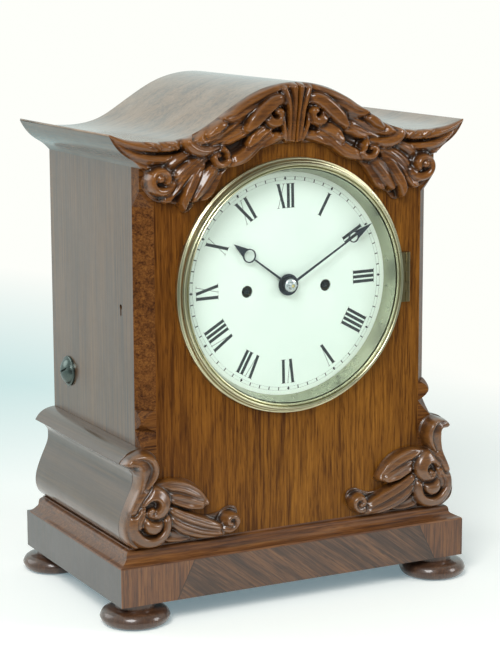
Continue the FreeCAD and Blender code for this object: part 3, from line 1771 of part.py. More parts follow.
def dial_plate():
    solid = disc(centre, dial_radius, dial_front, dial_back)
    solid = solid.cut(disc(centre, dial_hand_hole_radius, dial_front - overrun, dial_back + overrun))
    for at in (going_fusee_at, strike_fusee_at):
        hole = disc(at, winding_hole_radius, dial_front - overrun, dial_back + overrun)
        solid = solid.cut(hole)
    feet = []
    for i in range(4):
        at = polar(centre, dial_foot_circle, dial_foot_angle + i * 90)
        feet.append(disc(at, dial_foot_radius, dial_back, plate_front))
    return group([solid] + feet)


nodes["dial_plate"] = dial_plate()


# Strike train
def pin_wheel():
    bore = arbor_radius + collet_growth
    wheel_solid = wheel(
        pin_at, pin_teeth, pin_module, pin_phase, third_wheel_front, third_wheel_back, bore,
        bore * wheel_hub_share,
    )
    lift_circle = pin_module * pin_teeth / 2 - lift_pin_inset
    pins = []
    for i in range(lift_pin_count):
        at = polar(pin_at, lift_circle, (i + 0.5) * 360.0 / lift_pin_count)
        pins.append(
            disc(at, lift_pin_radius, third_wheel_front, third_wheel_back + lift_pin_length)
        )
    wheel_solid = wheel_solid.multiFuse(pins)
    leaf_front = great_front - pinion_overlap
    leaf_back = great_back + pinion_overlap
    thin = pinion_core(pin_pinion_leaves, strike_great_module)
    body = arbor(pin_at, arbor_radius, pivot_radius, thin, leaf_front, leaf_back)
    leaves = pinion(
        pin_at, pin_pinion_leaves, strike_great_module, pin_pinion_phase, leaf_front, leaf_back
    )
    hub = collet(pin_at, third_wheel_front, third_wheel_back + collet_length)
    return group([wheel_solid, body.multiFuse([leaves, hub])])


nodes["pin_wheel"] = pin_wheel()
nodes["gathering_wheel"] = wheel_and_pinion(
    gathering_at, gathering_teeth, strike_module, gathering_phase, gathering_front,
    gathering_pinion_leaves, pin_module, gathering_pinion_phase,
    third_wheel_front - pinion_overlap, third_wheel_back + pinion_overlap,
)
nodes["warning_wheel"] = wheel_and_pinion(
    warning_at, warning_teeth, strike_module, warning_phase, warning_front,
    warning_pinion_leaves, strike_module, warning_pinion_phase,
    gathering_front - pinion_overlap, gathering_back + pinion_overlap,
)


def fly():
    leaf_front = warning_front - pinion_overlap
    leaf_back = warning_back + pinion_overlap
    thin = pinion_core(fly_pinion_leaves, strike_module)
    body = arbor(fly_at, arbor_radius, pivot_radius, thin, leaf_front, leaf_back)
    leaves = pinion(fly_at, fly_pinion_leaves, strike_module, fly_pinion_phase, leaf_front, leaf_back)
    vane_front = leaf_back + collet_length
    vane = block(
        fly_at[0] - fly_radius, fly_at[0] + fly_radius, vane_front, vane_front + fly_length,
        fly_at[1] - fly_thickness / 2, fly_at[1] + fly_thickness / 2,
    )
    return body.multiFuse([leaves, vane])


nodes["fly"] = fly()

# Hammer, gong and its stand, rack
gong_at = (gong_side_gap - side_inner, stand_z)
gong_y = stand_front - gong_boss_length / 2


# Flat spiral of half-turn arcs, each smaller than the last by half a pitch
def gong_wire():
    edges = []
    radius = gong_outer_radius
    middle = gong_at[0]
    for i in range(gong_half_turns):
        side = 1 if i % 2 == 0 else -1
        start = point(middle - side * radius, gong_y, gong_at[1])
        end = point(middle + side * radius, gong_y, gong_at[1])
        crown_point = point(middle, gong_y, gong_at[1] + side * radius)
        edges.append(Part.Arc(start, crown_point, end).toShape())
        next_radius = radius - gong_turn_pitch / 2
        middle = middle + side * (radius - next_radius)
        radius = next_radius
    path = Part.Wire(edges)
    profile = Part.Wire(
        Part.makeCircle(gong_wire_radius, point(gong_at[0] - gong_outer_radius, gong_y, gong_at[1]),
                        point(0, 0, 1))
    )
    return path.makePipeShell([profile], True, False), middle, radius


gong_solid, spiral_x, spiral_radius = gong_wire()
spiral_end = (spiral_x - spiral_radius, gong_at[1])
boss = disc(
    (spiral_end[0] + gong_boss_radius / 2, gong_at[1]), gong_boss_radius,
    gong_y - gong_boss_length / 2, gong_y + gong_boss_length / 2,
)
nodes["gong"] = gong_solid.fuse(boss)
stalk_y = gong_y - gong_wire_radius - hammer_stalk_gap - hammer_stalk_radius


def hammer():
    head_x = gong_at[0] - gong_outer_radius - gong_wire_radius - hammer_head_gap - hammer_head_radius
    head_z = gong_at[1]
    head = post(head_x, gong_y, hammer_head_radius, head_z - hammer_head_length / 2,
                head_z + hammer_head_length / 2)
    spindle = disc(hammer_at, arbor_radius, plate_front_back + end_shake, stalk_y + arbor_radius)
    pivot = disc(hammer_at, pivot_radius, plate_front + end_shake, plate_front_back + end_shake)
    top = point(hammer_at[0], stalk_y, hammer_at[1])
    foot = point(head_x, stalk_y, head_z)
    run = foot - top
    stalk = Part.makeCylinder(hammer_stalk_radius, run.Length, top, run)
    tail_front = third_wheel_back + hammer_tail_gap
    tail = block(
        hammer_at[0], hammer_at[0] + hammer_tail_length, tail_front, tail_front + lift_pin_length,
        hammer_at[1] - hammer_tail_width / 2, hammer_at[1] + hammer_tail_width / 2,
    )
    return spindle.multiFuse([pivot, head, stalk, tail])


nodes["hammer"] = hammer()


def gong_stand():
    shank = rail(stand_y, stand_z, side_screw_shank, -case_half_width, -side_inner)
    head_x = -case_half_width - side_screw_proud
    cup = rail(stand_y, stand_z, side_screw_radius, -case_half_width - side_screw_cup,
               -case_half_width)
    dome_radius = side_screw_radius * side_screw_dome_share
    crown_x = head_x + side_screw_proud * side_screw_crown_height_share
    dome = rail(stand_y, stand_z, dome_radius, crown_x, -case_half_width - side_screw_cup)
    crown_disc = rail(stand_y, stand_z, dome_radius * side_screw_crown_share, head_x, crown_x)
    slot = block(
        head_x - overrun, head_x + side_screw_proud * side_screw_slot_depth_share,
        stand_y - side_screw_radius, stand_y + side_screw_radius,
        stand_z - side_screw_slot / 2, stand_z + side_screw_slot / 2,
    )
    screw = shank.multiFuse([cup, dome, crown_disc]).cut(slot)
    boss_x = spiral_end[0] + gong_boss_radius / 2
    bar = block(
        -side_inner, boss_x + gong_boss_radius, stand_front,
        stand_front + stand_thickness, stand_z - stand_width / 2, stand_z + stand_width / 2,
    )
    return group([screw, bar])


nodes["gong_stand"] = gong_stand()


def rack():
    stud_at = (-rack_stud_offset, dial_z - rack_stud_drop)
    back = plate_front - end_shake
    front = back - rack_thickness
    outer = rack_radius
    inner = rack_radius - rack_band
    rise, fall = rack_tooth_shares
    step = rack_sweep / rack_teeth
    places = []
    for i in range(rack_teeth):
        angle = rack_start + step * i
        places.append(polar(stud_at, outer - rack_tooth_depth, angle))
        places.append(polar(stud_at, outer, angle + step * rise))
        places.append(polar(stud_at, outer - rack_tooth_depth, angle + step * fall))
    for i in range(rack_teeth + 1):
        angle = rack_start + rack_sweep * (1 - i / rack_teeth)
        places.append(polar(stud_at, inner, angle))
    arc = plate(places, front, back)
    middle = rack_start + rack_sweep / 2
    lean = math.radians(middle)
    side = (-math.sin(lean) * rack_arm_width / 2, math.cos(lean) * rack_arm_width / 2)
    end = polar(stud_at, inner + rack_band / 2, middle)
    arm = plate(
        [(stud_at[0] + side[0], stud_at[1] + side[1]), (stud_at[0] - side[0], stud_at[1] - side[1]),
         (end[0] - side[0], end[1] - side[1]), (end[0] + side[0], end[1] + side[1])],
        front, back,
    )
    hub = disc(stud_at, rack_hub_radius, front, back)
    solid = arc.multiFuse([arm, hub])
    return solid.cut(
        disc(stud_at, rack_stud_radius + running_clearance, front - overrun, back + overrun)
    ), stud_at, front


rack_solid, rack_stud_at, rack_front = rack()
nodes["rack"] = rack_solid


# Plates with a bored hole for every pivot, pillars and seat board
def movement_plate(front, back, holes):
    solid = block(-plate_half_width, plate_half_width, front, back, plate_bottom, plate_top)
    for at, radius in holes:
        solid = solid.cut(disc(at, radius + running_clearance, front - overrun, back + overrun))
    return solid


shared_holes = [
    (third_at, pivot_radius), (escape_at, pivot_radius), (pin_at, pivot_radius),
    (gathering_at, pivot_radius), (warning_at, pivot_radius), (fly_at, pivot_radius),
    (going_barrel_at, arbor_radius), (strike_barrel_at, arbor_radius),
]
front_holes = shared_holes + [
    (going_fusee_at, fusee_arbor_radius), (strike_fusee_at, fusee_arbor_radius),
    (centre, centre_post_radius), (anchor_at, pivot_radius), (hammer_at, pivot_radius),
]
back_holes = shared_holes + [
    (going_fusee_at, arbor_radius), (strike_fusee_at, arbor_radius),
    (centre, pivot_radius), (anchor_at, cock_hole_radius), (hammer_at, arbor_radius),
]
minute_stud = disc(minute_at, minute_stud_radius, hour_front - wheel_thickness, plate_front)
rack_stud = disc(rack_stud_at, rack_stud_radius, rack_front - rack_stud_proud, plate_front)
nodes["front_plate"] = group(
    [movement_plate(plate_front, plate_front_back, front_holes), minute_stud, rack_stud]
)
nodes["back_plate"] = movement_plate(plate_back, plate_back_back, back_holes)


def pillars():
    x = plate_half_width - pillar_inset
    low = plate_bottom + pillar_inset
    high = plate_top - pillar_inset
    places = [(-x, low), (x, low), (-x, high), (x, high), (0, low)]
    return group(disc(at, pillar_radius, plate_front_back, plate_back) for at in places)


nodes["plate_pillars"] = pillars()
nodes["seat_board"] = block(
    -side_inner, side_inner, plate_front - seat_overhang, plate_back_back + seat_overhang / 2,
    plate_bottom - seat_thickness, plate_bottom,
)

os.makedirs("parts", exist_ok=True)
for name, shape in nodes.items():
    solids = shape.Solids
    faults = [i for i, solid in enumerate(solids) if not solid.isValid()]
    print(name, len(solids), round(shape.Volume, 1), "faults", faults)
    shape.exportStep("parts/" + name + ".step")
print(len(nodes), "nodes")
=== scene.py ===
import math

import bmesh
import bpy
import numpy as np
from mathutils import Matrix, Vector


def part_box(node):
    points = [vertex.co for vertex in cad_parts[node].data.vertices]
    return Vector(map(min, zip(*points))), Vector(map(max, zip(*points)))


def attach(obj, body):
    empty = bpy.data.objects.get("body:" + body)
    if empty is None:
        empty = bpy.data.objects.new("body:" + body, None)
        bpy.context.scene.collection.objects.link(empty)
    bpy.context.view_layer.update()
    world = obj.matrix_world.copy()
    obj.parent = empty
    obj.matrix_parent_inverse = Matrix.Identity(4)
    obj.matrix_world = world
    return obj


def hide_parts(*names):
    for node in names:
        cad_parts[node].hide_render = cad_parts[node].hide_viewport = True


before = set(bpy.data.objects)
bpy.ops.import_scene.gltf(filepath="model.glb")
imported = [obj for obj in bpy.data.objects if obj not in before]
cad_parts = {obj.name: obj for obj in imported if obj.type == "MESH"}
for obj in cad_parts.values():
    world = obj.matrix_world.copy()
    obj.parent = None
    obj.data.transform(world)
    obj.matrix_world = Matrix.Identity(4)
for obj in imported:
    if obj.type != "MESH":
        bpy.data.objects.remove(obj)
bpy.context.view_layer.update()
print("frame loaded,", len(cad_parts), "nodes")

mm = 0.001
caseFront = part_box("front_panel")[0][1]  # front face of the front board
roofFront, caseBack = (corner[1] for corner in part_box("roof_board"))
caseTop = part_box("side_panel_left")[1][2]
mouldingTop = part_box("plinth_moulding")[1][2]
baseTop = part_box("base_frame")[1][2]
dialLow, dialHigh = (Vector(corner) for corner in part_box("dial_plate"))
dialZ = (dialLow.z + dialHigh.z) / 2
dialFace = dialLow.y
meshRules = {"merge": 2e-6, "sharp": 38, "bevelOver": 40}  # metres, then degrees


def smoothLine(points, count):
    # Natural cubic spline through the points: the chord length is the parameter, and the second
    # derivatives solve the usual three-term system with zero bending at both ends
    p = np.asarray(points, float)
    t = np.r_[0, np.cumsum(np.linalg.norm(np.diff(p, axis=0), axis=1))]
    n = len(p)
    h = np.diff(t)
    a = np.eye(n)
    b = np.zeros_like(p)
    for i in range(1, n - 1):
        a[i, i - 1 : i + 2] = h[i - 1], 2 * (h[i - 1] + h[i]), h[i]
        b[i] = 6 * ((p[i + 1] - p[i]) / h[i] - (p[i] - p[i - 1]) / h[i - 1])
    m = np.linalg.solve(a, b)
    s = np.linspace(0, t[-1], count)
    k = np.clip(np.searchsorted(t, s, side="right") - 1, 0, n - 2)
    u = (s - t[k])[:, None]
    w = (t[k + 1] - s)[:, None]
    g = h[k][:, None]
    return (
        m[k] * w**3 / (6 * g)
        + m[k + 1] * u**3 / (6 * g)
        + (p[k] / g - m[k] * g / 6) * w
        + (p[k + 1] / g - m[k + 1] * g / 6) * u
    )


def joined(runs):
    # Curved runs end to end as one loop, each shared point kept once
    return np.concatenate([np.asarray(run)[:-1] for run in runs])


def gridFaces(rows, cols, closeRows=False, closeCols=False):
    # Quads between neighbouring points of a grid, which may close on itself either way
    r = np.arange(rows if closeRows else rows - 1)
    c = np.arange(cols if closeCols else cols - 1)
    i, j = np.meshgrid(r, c, indexing="ij")
    up, across = (i + 1) % rows, (j + 1) % cols
    quads = [i * cols + j, up * cols + j, up * cols + across, i * cols + across]
    return np.stack([q.ravel() for q in quads], 1)


def revolved(profile, centre, axis, steps):
    # A profile point (r, h) turned through angle a lies r cos a and r sin a across the axis and
    # h along it, from the centre
    p = np.asarray(profile, float)
    a = np.linspace(0, 2 * np.pi, steps, endpoint=False)
    ring = np.stack([np.cos(a), np.sin(a)], 1)
    across = p[:, None, 0:1] * ring[None]
    along = np.repeat(p[:, None, 1:2], steps, 1)
    if axis == "Z":
        verts = np.concatenate([across, along], 2)
    else:
        verts = np.concatenate([across[..., :1], along, across[..., 1:]], 2)
    verts = verts + np.asarray(centre)
    closed = np.allclose(p[0], p[-1])
    if closed:
        verts = verts[:-1]
    faces = gridFaces(len(verts), steps, closeRows=closed, closeCols=True)
    return verts.reshape(-1, 3), faces


def prism(loop, start, end, axis="Y"):
    # A closed loop carried straight along an axis from start to end, with a cap at each end. Its
    # two coordinates are those of the other two axes
    place = "XYZ".index(axis)
    verts = np.concatenate([np.insert(loop, place, value, axis=1) for value in (start, end)])
    n = len(loop)
    sides = gridFaces(2, n, closeCols=True).tolist()
    caps = [list(range(n))[::-1], list(range(n, 2 * n))]
    return verts, sides + caps


def joinMeshes(parts):
    # Several meshes as one: each part's faces count on from the points before it
    verts, faces, base = [], [], 0
    for v, f in parts:
        verts.append(np.asarray(v))
        faces += [[k + base for k in face] for face in f]
        base += len(v)
    return np.concatenate(verts), faces


def withMirror(part):
    # The part and the same with x reversed, as one mesh
    return joinMeshes([part, (part[0] * (-1, 1, 1), part[1])])


def placed(name, data):
    # An object that holds the data, in the scene, with its own origin at the scene's
    thing = bpy.data.objects.new(name, data)
    bpy.context.scene.collection.objects.link(thing)
    return thing


def shadeSmooth(mesh, sharp):
    # Smooth faces, with a crease where two of them meet at more than the angle
    mesh.polygons.foreach_set("use_smooth", [True] * len(mesh.polygons))
    mesh.set_sharp_from_angle(angle=math.radians(sharp))


def makePiece(name, verts, faces, material, body, slotName, sharp=meshRules["sharp"], edge=None):
    # A mesh with its doubles merged and its faces turned outwards, that rides on a body. Its edge
    # is the width and the segments of a bevel
    mesh = bpy.data.meshes.new(name)
    mesh.from_pydata(np.asarray(verts).tolist(), [], [list(f) for f in faces])
    work = bmesh.new()
    work.from_mesh(mesh)
    bmesh.ops.remove_doubles(work, verts=work.verts, dist=meshRules["merge"])
    bmesh.ops.recalc_face_normals(work, faces=work.faces)
    work.to_mesh(mesh)
    work.free()
    shadeSmooth(mesh, sharp)
    mesh.materials.append(material)
    piece = placed(name, mesh)
    if edge:
        bevel = piece.modifiers.new("edge", "BEVEL")
        bevel.width, bevel.segments = edge
        bevel.limit_method = "ANGLE"
        bevel.angle_limit = math.radians(meshRules["bevelOver"])
        bevel.harden_normals = False
    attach(piece, body)
    return piece


class nodeHelp:
    # Short calls that add, fill and link the nodes of one tree
    def __init__(self, tree):
        self.tree = tree

    def put(self, socket, value):
        if isinstance(value, bpy.types.NodeSocket):
            self.tree.links.new(value, socket)
        else:
            socket.default_value = value

    def fill(self, node, values):
        for label, value in values.items():
            self.put(node.inputs[label], value)
        return node

    def inOrder(self, node, values):
        for socket, value in zip(node.inputs, values):
            self.put(socket, value)
        return node

    def add(self, kind, settings=(), **inputs):
        node = self.tree.nodes.new(kind)
        for key, value in dict(settings).items():
            setattr(node, key, value)
        return self.fill(node, inputs)

    def math(self, operation, a, b=0.0):
        node = self.add("ShaderNodeMath", {"operation": operation})
        return self.inOrder(node, (a, b)).outputs[0]

    def weighted(self, values, shares):
        # The sum of the values, each times its share
        total, *others = (self.math("MULTIPLY", *pair) for pair in zip(values, shares))
        for other in others:
            total = self.math("ADD", total, other)
        return total

    def vector(self, operation, a, b=(0, 0, 0)):
        node = self.add("ShaderNodeVectorMath", {"operation": operation})
        self.inOrder(node, (a, b))
        return node.outputs["Value"] if operation in ("LENGTH", "DOT_PRODUCT") else node.outputs[0]

    def distance(self, where, centre, stretch):
        # How far a place lies from a centre, with each axis stretched
        offset = self.vector("SUBTRACT", where, centre)
        return self.vector("LENGTH", self.vector("MULTIPLY", offset, stretch))

    def noise(self, vector, scale, detail, roughness, distortion=0.0):
        node = self.add("ShaderNodeTexNoise", Vector=vector, Scale=scale, Detail=detail,
                        Roughness=roughness, Distortion=distortion)
        return node.outputs["Fac"]

    def span(self, value, low, high, outLow=0.0, outHigh=1.0):
        node = self.add("ShaderNodeMapRange", {"clamp": True})
        return self.inOrder(node, (value, low, high, outLow, outHigh)).outputs[0]

    def blendColours(self, amount, a, b, mode="MIX"):
        node = self.add("ShaderNodeMix", {"data_type": "RGBA", "blend_type": mode})
        for index, value in ((0, amount), (6, a), (7, b)):  # 6 and 7 are its colour sockets
            self.put(node.inputs[index], value)
        return node.outputs[2]

    def mixShaders(self, amount, first, second):
        node = self.add("ShaderNodeMixShader")
        return self.inOrder(node, (amount, first.outputs[0], second.outputs[0])).outputs[0]


def newGroup(name, inputs, outputs):
    # A node group with named sockets, and its two end nodes
    tree = bpy.data.node_groups.new(name, "ShaderNodeTree")
    make = tree.interface.new_socket
    for label, kind, value in inputs:
        socket = make(name=label, in_out="INPUT", socket_type="NodeSocket" + kind)
        if value is not None:
            socket.default_value = value
    for label, kind in outputs:
        make(name=label, in_out="OUTPUT", socket_type="NodeSocket" + kind)
    h = nodeHelp(tree)
    return tree, h, h.add("NodeGroupInput").outputs, h.add("NodeGroupOutput")


grainNoise = {  # a noise is its scale, detail and roughness, and two numbers are a range
    "slow": (1.0, 1.0, 0.22), "fine": (1.0, 1.0, 0.45),  # how far it is drawn out along Z
    "wave": 9.0, "waveDetail": 2.0, "broad": (16.0, 3.0, 0.5), "streak": (5.0, 0.65, 0.4),
    "fibre": (520.0, 3.0, 0.7), "pore": (900.0, 2.0, 0.5),
    "shares": (0.40, 0.46, 0.14),  # of the streaks, the fibres and the broad bands
    "toMiddle": (0.38, 0.51), "toLight": (0.50, 0.64), "pored": (0.56, 0.68), "raised": 0.35,
}


def woodFigureGroup():
    # Grain along Z of the incoming vector: broad streaks, fine fibres, short dark pores
    tree, h, into, out = newGroup(
        "woodFigure",
        [
            ("Vector", "Vector", None), ("Streaks", "Float", 70.0), ("Waviness", "Float", 0.012),
            ("Length", "Float", 0.075), ("Light", "Color", (0.30, 0.13, 0.03, 1)),
            ("Middle", "Color", (0.18, 0.07, 0.015, 1)),
            ("Dark", "Color", (0.05, 0.018, 0.006, 1)), ("Pores", "Float", 0.6),
        ],
        [("Color", "Color"), ("Height", "Float")],
    )
    slow = h.vector("MULTIPLY", into["Vector"], grainNoise["slow"])
    wave = h.add("ShaderNodeTexNoise", Vector=slow, Scale=grainNoise["wave"],
                 Detail=grainNoise["waveDetail"])
    shift = h.vector("SUBTRACT", wave.outputs["Color"], (0.5, 0.5, 0.5))
    bent = h.vector("ADD", into["Vector"], h.vector("MULTIPLY", shift, into["Waviness"]))
    stretch = h.add("ShaderNodeCombineXYZ", X=1.0, Y=1.0, Z=into["Length"])
    long = h.vector("MULTIPLY", bent, stretch.outputs[0])
    fine = h.vector("MULTIPLY", long, grainNoise["fine"])
    streak = h.noise(long, into["Streaks"], *grainNoise["streak"])
    fibre = h.noise(fine, *grainNoise["fibre"])
    broad = h.noise(slow, *grainNoise["broad"])
    mixed = h.weighted((streak, fibre, broad), grainNoise["shares"])
    colour = h.blendColours(h.span(mixed, *grainNoise["toMiddle"]), into["Dark"], into["Middle"])
    colour = h.blendColours(h.span(mixed, *grainNoise["toLight"]), colour, into["Light"])
    pored = h.span(h.noise(long, *grainNoise["pore"]), *grainNoise["pored"])
    pores = h.math("MULTIPLY", pored, into["Pores"])
    raised = h.math("MULTIPLY", fibre, grainNoise["raised"])
    h.fill(out, {"Color": h.blendColours(pores, colour, into["Dark"]),
                 "Height": h.math("SUBTRACT", raised, pores)})
    return tree


wearNoise = {
    "patch": (18.0, 4.0, 0.6), "smear": (120.0, 3.0, 0.6), "shares": (0.7, 0.3),
    "rubbed": (0.35, 0.65), "upward": (0.2, 1.0), "settled": (0.42, 0.7),
}


def handWearGroup():
    # Slow patches of rubbed polish and faint dust: more on faces that look up
    tree, h, into, out = newGroup(
        "handWear",
        [
            ("Vector", "Vector", None), ("Base", "Float", 0.2), ("Spread", "Float", 0.12),
            ("Dust", "Float", 0.1),
        ],
        [("Roughness", "Float"), ("Dust", "Float"), ("Height", "Float")],
    )
    patch = h.noise(into["Vector"], *wearNoise["patch"])
    smear = h.noise(into["Vector"], *wearNoise["smear"])
    both = h.weighted((patch, smear), wearNoise["shares"])
    spread = h.math("MULTIPLY", h.span(both, *wearNoise["rubbed"]), into["Spread"])
    up = h.vector("DOT_PRODUCT", h.add("ShaderNodeNewGeometry").outputs["Normal"], (0, 0, 1))
    dust = h.math("MULTIPLY", h.span(up, *wearNoise["upward"]),
                  h.span(patch, *wearNoise["settled"]))
    h.fill(out, {"Roughness": h.math("ADD", into["Base"], spread),
                 "Dust": h.math("MULTIPLY", dust, into["Dust"]), "Height": patch})
    return tree


def turnedBrushGroup():
    # Fine rings about a centre in the XZ plane, as a lathe or a brush leaves them: a noise over
    # the radius times the fineness, with the direction from the centre added
    tree, h, into, out = newGroup(
        "turnedBrush",
        [("Vector", "Vector", None), ("Centre", "Vector", (0, 0, 0)), ("Fineness", "Float", 900.0)],
        [("Height", "Float")],
    )
    flat = h.vector("MULTIPLY", h.vector("SUBTRACT", into["Vector"], into["Centre"]), (1, 0, 1))
    scaled = h.math("MULTIPLY", h.vector("LENGTH", flat), into["Fineness"])
    outwards = h.add("ShaderNodeCombineXYZ", X=scaled)
    turned = h.vector("ADD", outwards.outputs[0], h.vector("NORMALIZE", flat))
    h.fill(out, {"Height": h.noise(turned, 1.0, 4.0, 0.7)})
    return tree


groups = {
    "wood": woodFigureGroup(),
    "wear": handWearGroup(),
    "turned": turnedBrushGroup(),
}
print("shader groups built")


def placeGroup(h, key, **inputs):
    return h.fill(h.add("ShaderNodeGroup", {"node_tree": groups[key]}), inputs).outputs


def startMaterial(name):
    # An empty material, the place on the piece for its patterns, and the socket for its shader
    material = bpy.data.materials.new(name)
    material.use_nodes = True
    material.node_tree.nodes.clear()
    h = nodeHelp(material.node_tree)
    where = h.add("ShaderNodeTexCoord").outputs["Object"]
    return material, h, where, h.add("ShaderNodeOutputMaterial").inputs["Surface"]


def putShader(h, surface, values, height, bump, depth):
    # The shader with its values, and a bump from a height of that depth in metres
    raised = h.add("ShaderNodeBump", Strength=bump, Distance=depth, Height=height)
    shader = h.add("ShaderNodeBsdfPrincipled", Normal=raised.outputs[0])
    h.put(surface, h.fill(shader, values).outputs[0])


def shades(light, middle, dark):
    return {"light": (*light, 1), "middle": (*middle, 1), "dark": (*dark, 1)}


grainTurns = {  # turns that lay the grain, which runs along Z, along another direction
    "up": (0, 0, 0),
    "across": (0, math.pi / 2, 0),
    "deep": (math.pi / 2, 0, 0),
}
rosewood = {
    **shades((0.290, 0.122, 0.017), (0.185, 0.073, 0.010), (0.055, 0.018, 0.004)),
    "grain": "up", "shift": (0, 0, 0), "streaks": 190.0, "waviness": 0.014, "length": 0.075,
    "pores": 0.6, "roughness": 0.34, "spread": 0.10, "bump": 0.2, "depth": 0.2 * mm,
    "dust": 0.02, "dustColour": (0.55, 0.50, 0.42, 1),
    "ior": 1.5, "shine": 0.06, "coat": 0.15, "coatRoughness": 0.10, "coatIor": 1.5,
}
flatter = {  # outer faces, darker under a full polish
    **shades((0.150, 0.070, 0.018), (0.095, 0.042, 0.011), (0.038, 0.016, 0.006)),
    "length": 0.03, "pores": 0.3, "shine": 0.45, "coat": 1.0, "coatRoughness": 0.14,
    "coatIor": 1.52,
}
redder = {
    **shades((0.230, 0.098, 0.028), (0.135, 0.050, 0.014), (0.040, 0.014, 0.006)),
    "shine": 0.35, "coat": 0.6,
}
carvedLook = {
    **shades((0.230, 0.086, 0.014), (0.110, 0.037, 0.006), (0.040, 0.013, 0.003)),
    "grain": "across", "streaks": 45.0, "waviness": 0.04, "pores": 0.15,
    "roughness": 0.26, "spread": 0.08, "bump": 0.05, "shine": 0.15,
    "coat": 1.0, "coatRoughness": 0.13, "coatIor": 1.52,
    # the cavity gives the carvings a painted shade in the hollows and lighter ridges
    "hollows": (0.50, 0.10), "cavity": 0.85, "hollowShade": (0.010, 0.004, 0.002, 1),
    "ridges": (0.56, 0.86), "ridgeLightening": 0.45,
}
woodLooks = {  # what each wood has that plain rosewood has not
    # the front veneer gets a painted shade towards its edges
    "front_veneer": {"paintedEdgeShade": {
        "centre": (0.045, 0, 0.14), "stretch": (1, 0, 0.42), "start": 0.07, "end": 0.21,
        "wander": (22.0, 3.0, 0.6), "wanderBy": 0.05,
        "amount": 0.85, "colour": (0.60, 0.50, 0.45, 1)}},
    "corner_veneer": {
        **shades((0.200, 0.082, 0.018), (0.120, 0.044, 0.010), (0.030, 0.010, 0.004)),
        "grain": "across", "streaks": 150.0, "shift": (0.3, 0.1, 0.2)},
    "side_veneer": {**flatter, "shift": (0.11, 0.4, 0.0)},
    "skirt_veneer": {
        **flatter, "light": (0.100, 0.050, 0.016, 1), "middle": (0.062, 0.030, 0.010, 1),
        "grain": "deep", "shift": (0.2, 0, 0.1)},
    "roof_veneer": {
        **flatter, **shades((0.340, 0.205, 0.110), (0.225, 0.130, 0.062), (0.080, 0.044, 0.024)),
        "grain": "across", "shift": (0.0, 0.37, 0.1), "streaks": 55.0, "waviness": 0.05,
        "dust": 0.30, "coatIor": 1.46},
    "cornice_veneer": {**flatter, "grain": "deep", "shift": (0.5, 0, 0.31)},
    "base_veneer": {
        **redder, "shift": (0.0, 0.2, 0.3), "coat": 0.85, "banded": {
            **shades((0.185, 0.085, 0.035), (0.085, 0.040, 0.020), (0.022, 0.012, 0.008)),
            "turn": (0, math.radians(52), 0), "shift": (0, 0, 0), "streaks": 90.0,
            "waviness": 0.03, "centre": 0.012, "slant": 0.5, "reach": 0.148, "front": -0.1145,
            # the sides get a painted shade, near black
            "sides": (0.011, 0.012, 0.012, 1), "sideShadeAmount": 0.9,
            "seam": (0.012, 0.007, 0.004, 1), "seamAmount": 0.8, "seamHalf": 0.5 * mm}},
    "moulding_veneer": {**redder, "grain": "across", "shift": (0.1, 0.2, 0.8)},
    "turned_wood": {
        **redder, "light": (0.13, 0.058, 0.026, 1), "middle": (0.065, 0.028, 0.013, 1),
        "streaks": 90.0, "coat": 0.7, "shine": 0.5},
    "carved_wood": carvedLook,
    "bracket_wood": {
        **carvedLook,
        **shades((0.210, 0.086, 0.018), (0.110, 0.040, 0.008), (0.040, 0.015, 0.005)),
        "coatIor": 1.74, "coatRoughness": 0.28},
    "back_veneer": {**redder, "shift": (0.7, 0.1, 0.2)},
    "seat_oak": {
        **shades((0.42, 0.27, 0.12), (0.30, 0.18, 0.075), (0.14, 0.075, 0.03)),
        "grain": "across", "streaks": 90.0, "coat": 0.0, "roughness": 0.5},
}


def woodFigure(h, where, turn, look):
    laid = h.add("ShaderNodeMapping", Vector=where, Rotation=turn, Location=look["shift"])
    return placeGroup(
        h, "wood", Vector=laid.outputs[0], Streaks=look["streaks"], Waviness=look["waviness"],
        Light=look["light"], Middle=look["middle"], Dark=look["dark"], Pores=look["pores"],
        Length=look["length"],
    )


def paintedEdgeShade(h, where, colour, tone):
    # Painted shade: darker and redder towards the edges, by the distance aside and above a centre
    reach = h.distance(where, tone["centre"], tone["stretch"])
    wander = h.math("MULTIPLY", h.noise(where, *tone["wander"]), tone["wanderBy"])
    amount = h.span(h.math("ADD", reach, wander), tone["start"], tone["end"])
    return h.blendColours(h.math("MULTIPLY", amount, tone["amount"]), colour, tone["colour"],
                          "MULTIPLY")


def banded(h, where, colour, look):
    # Crossbanded veneer: between two seams that lean apart the figure is darker and runs
    # slantwise, and it stands upright beyond them. The sides get a painted shade, near black
    band = look["banded"]
    middle = woodFigure(h, where, band["turn"], {**look, **band})
    place = h.add("ShaderNodeSeparateXYZ", Vector=where).outputs
    aside = h.math("ABSOLUTE", h.math("SUBTRACT", place[0], band["centre"]))
    slanted = h.math("ADD", aside, h.math("MULTIPLY", place[2], band["slant"]))
    inside = h.math("LESS_THAN", slanted, band["reach"])
    front = h.math("LESS_THAN", place[1], band["front"])
    # Painted shade on every face behind the front
    sides = h.math("MULTIPLY", h.math("SUBTRACT", 1.0, front), band["sideShadeAmount"])
    colour = h.blendColours(sides, colour, band["sides"])
    colour = h.blendColours(h.math("MULTIPLY", inside, front), colour, middle["Color"])
    gap = h.math("ABSOLUTE", h.math("SUBTRACT", slanted, band["reach"]))
    seam = h.math("MULTIPLY", h.math("LESS_THAN", gap, band["seamHalf"]), front)
    return h.blendColours(h.math("MULTIPLY", seam, band["seamAmount"]), colour, band["seam"])


def chased(h, colour, look):
    # Painted shade in the hollows and lighter ridges, by the carving's own cavity attribute
    cavity = h.add("ShaderNodeAttribute", {"attribute_name": "cavity"}).outputs["Fac"]
    hollowShade = h.math("MULTIPLY", h.span(cavity, *look["hollows"]), look["cavity"])
    ridgeLightening = h.math("MULTIPLY", h.span(cavity, *look["ridges"]), look["ridgeLightening"])
    return h.blendColours(ridgeLightening, h.blendColours(hollowShade, colour, look["hollowShade"]), look["light"])


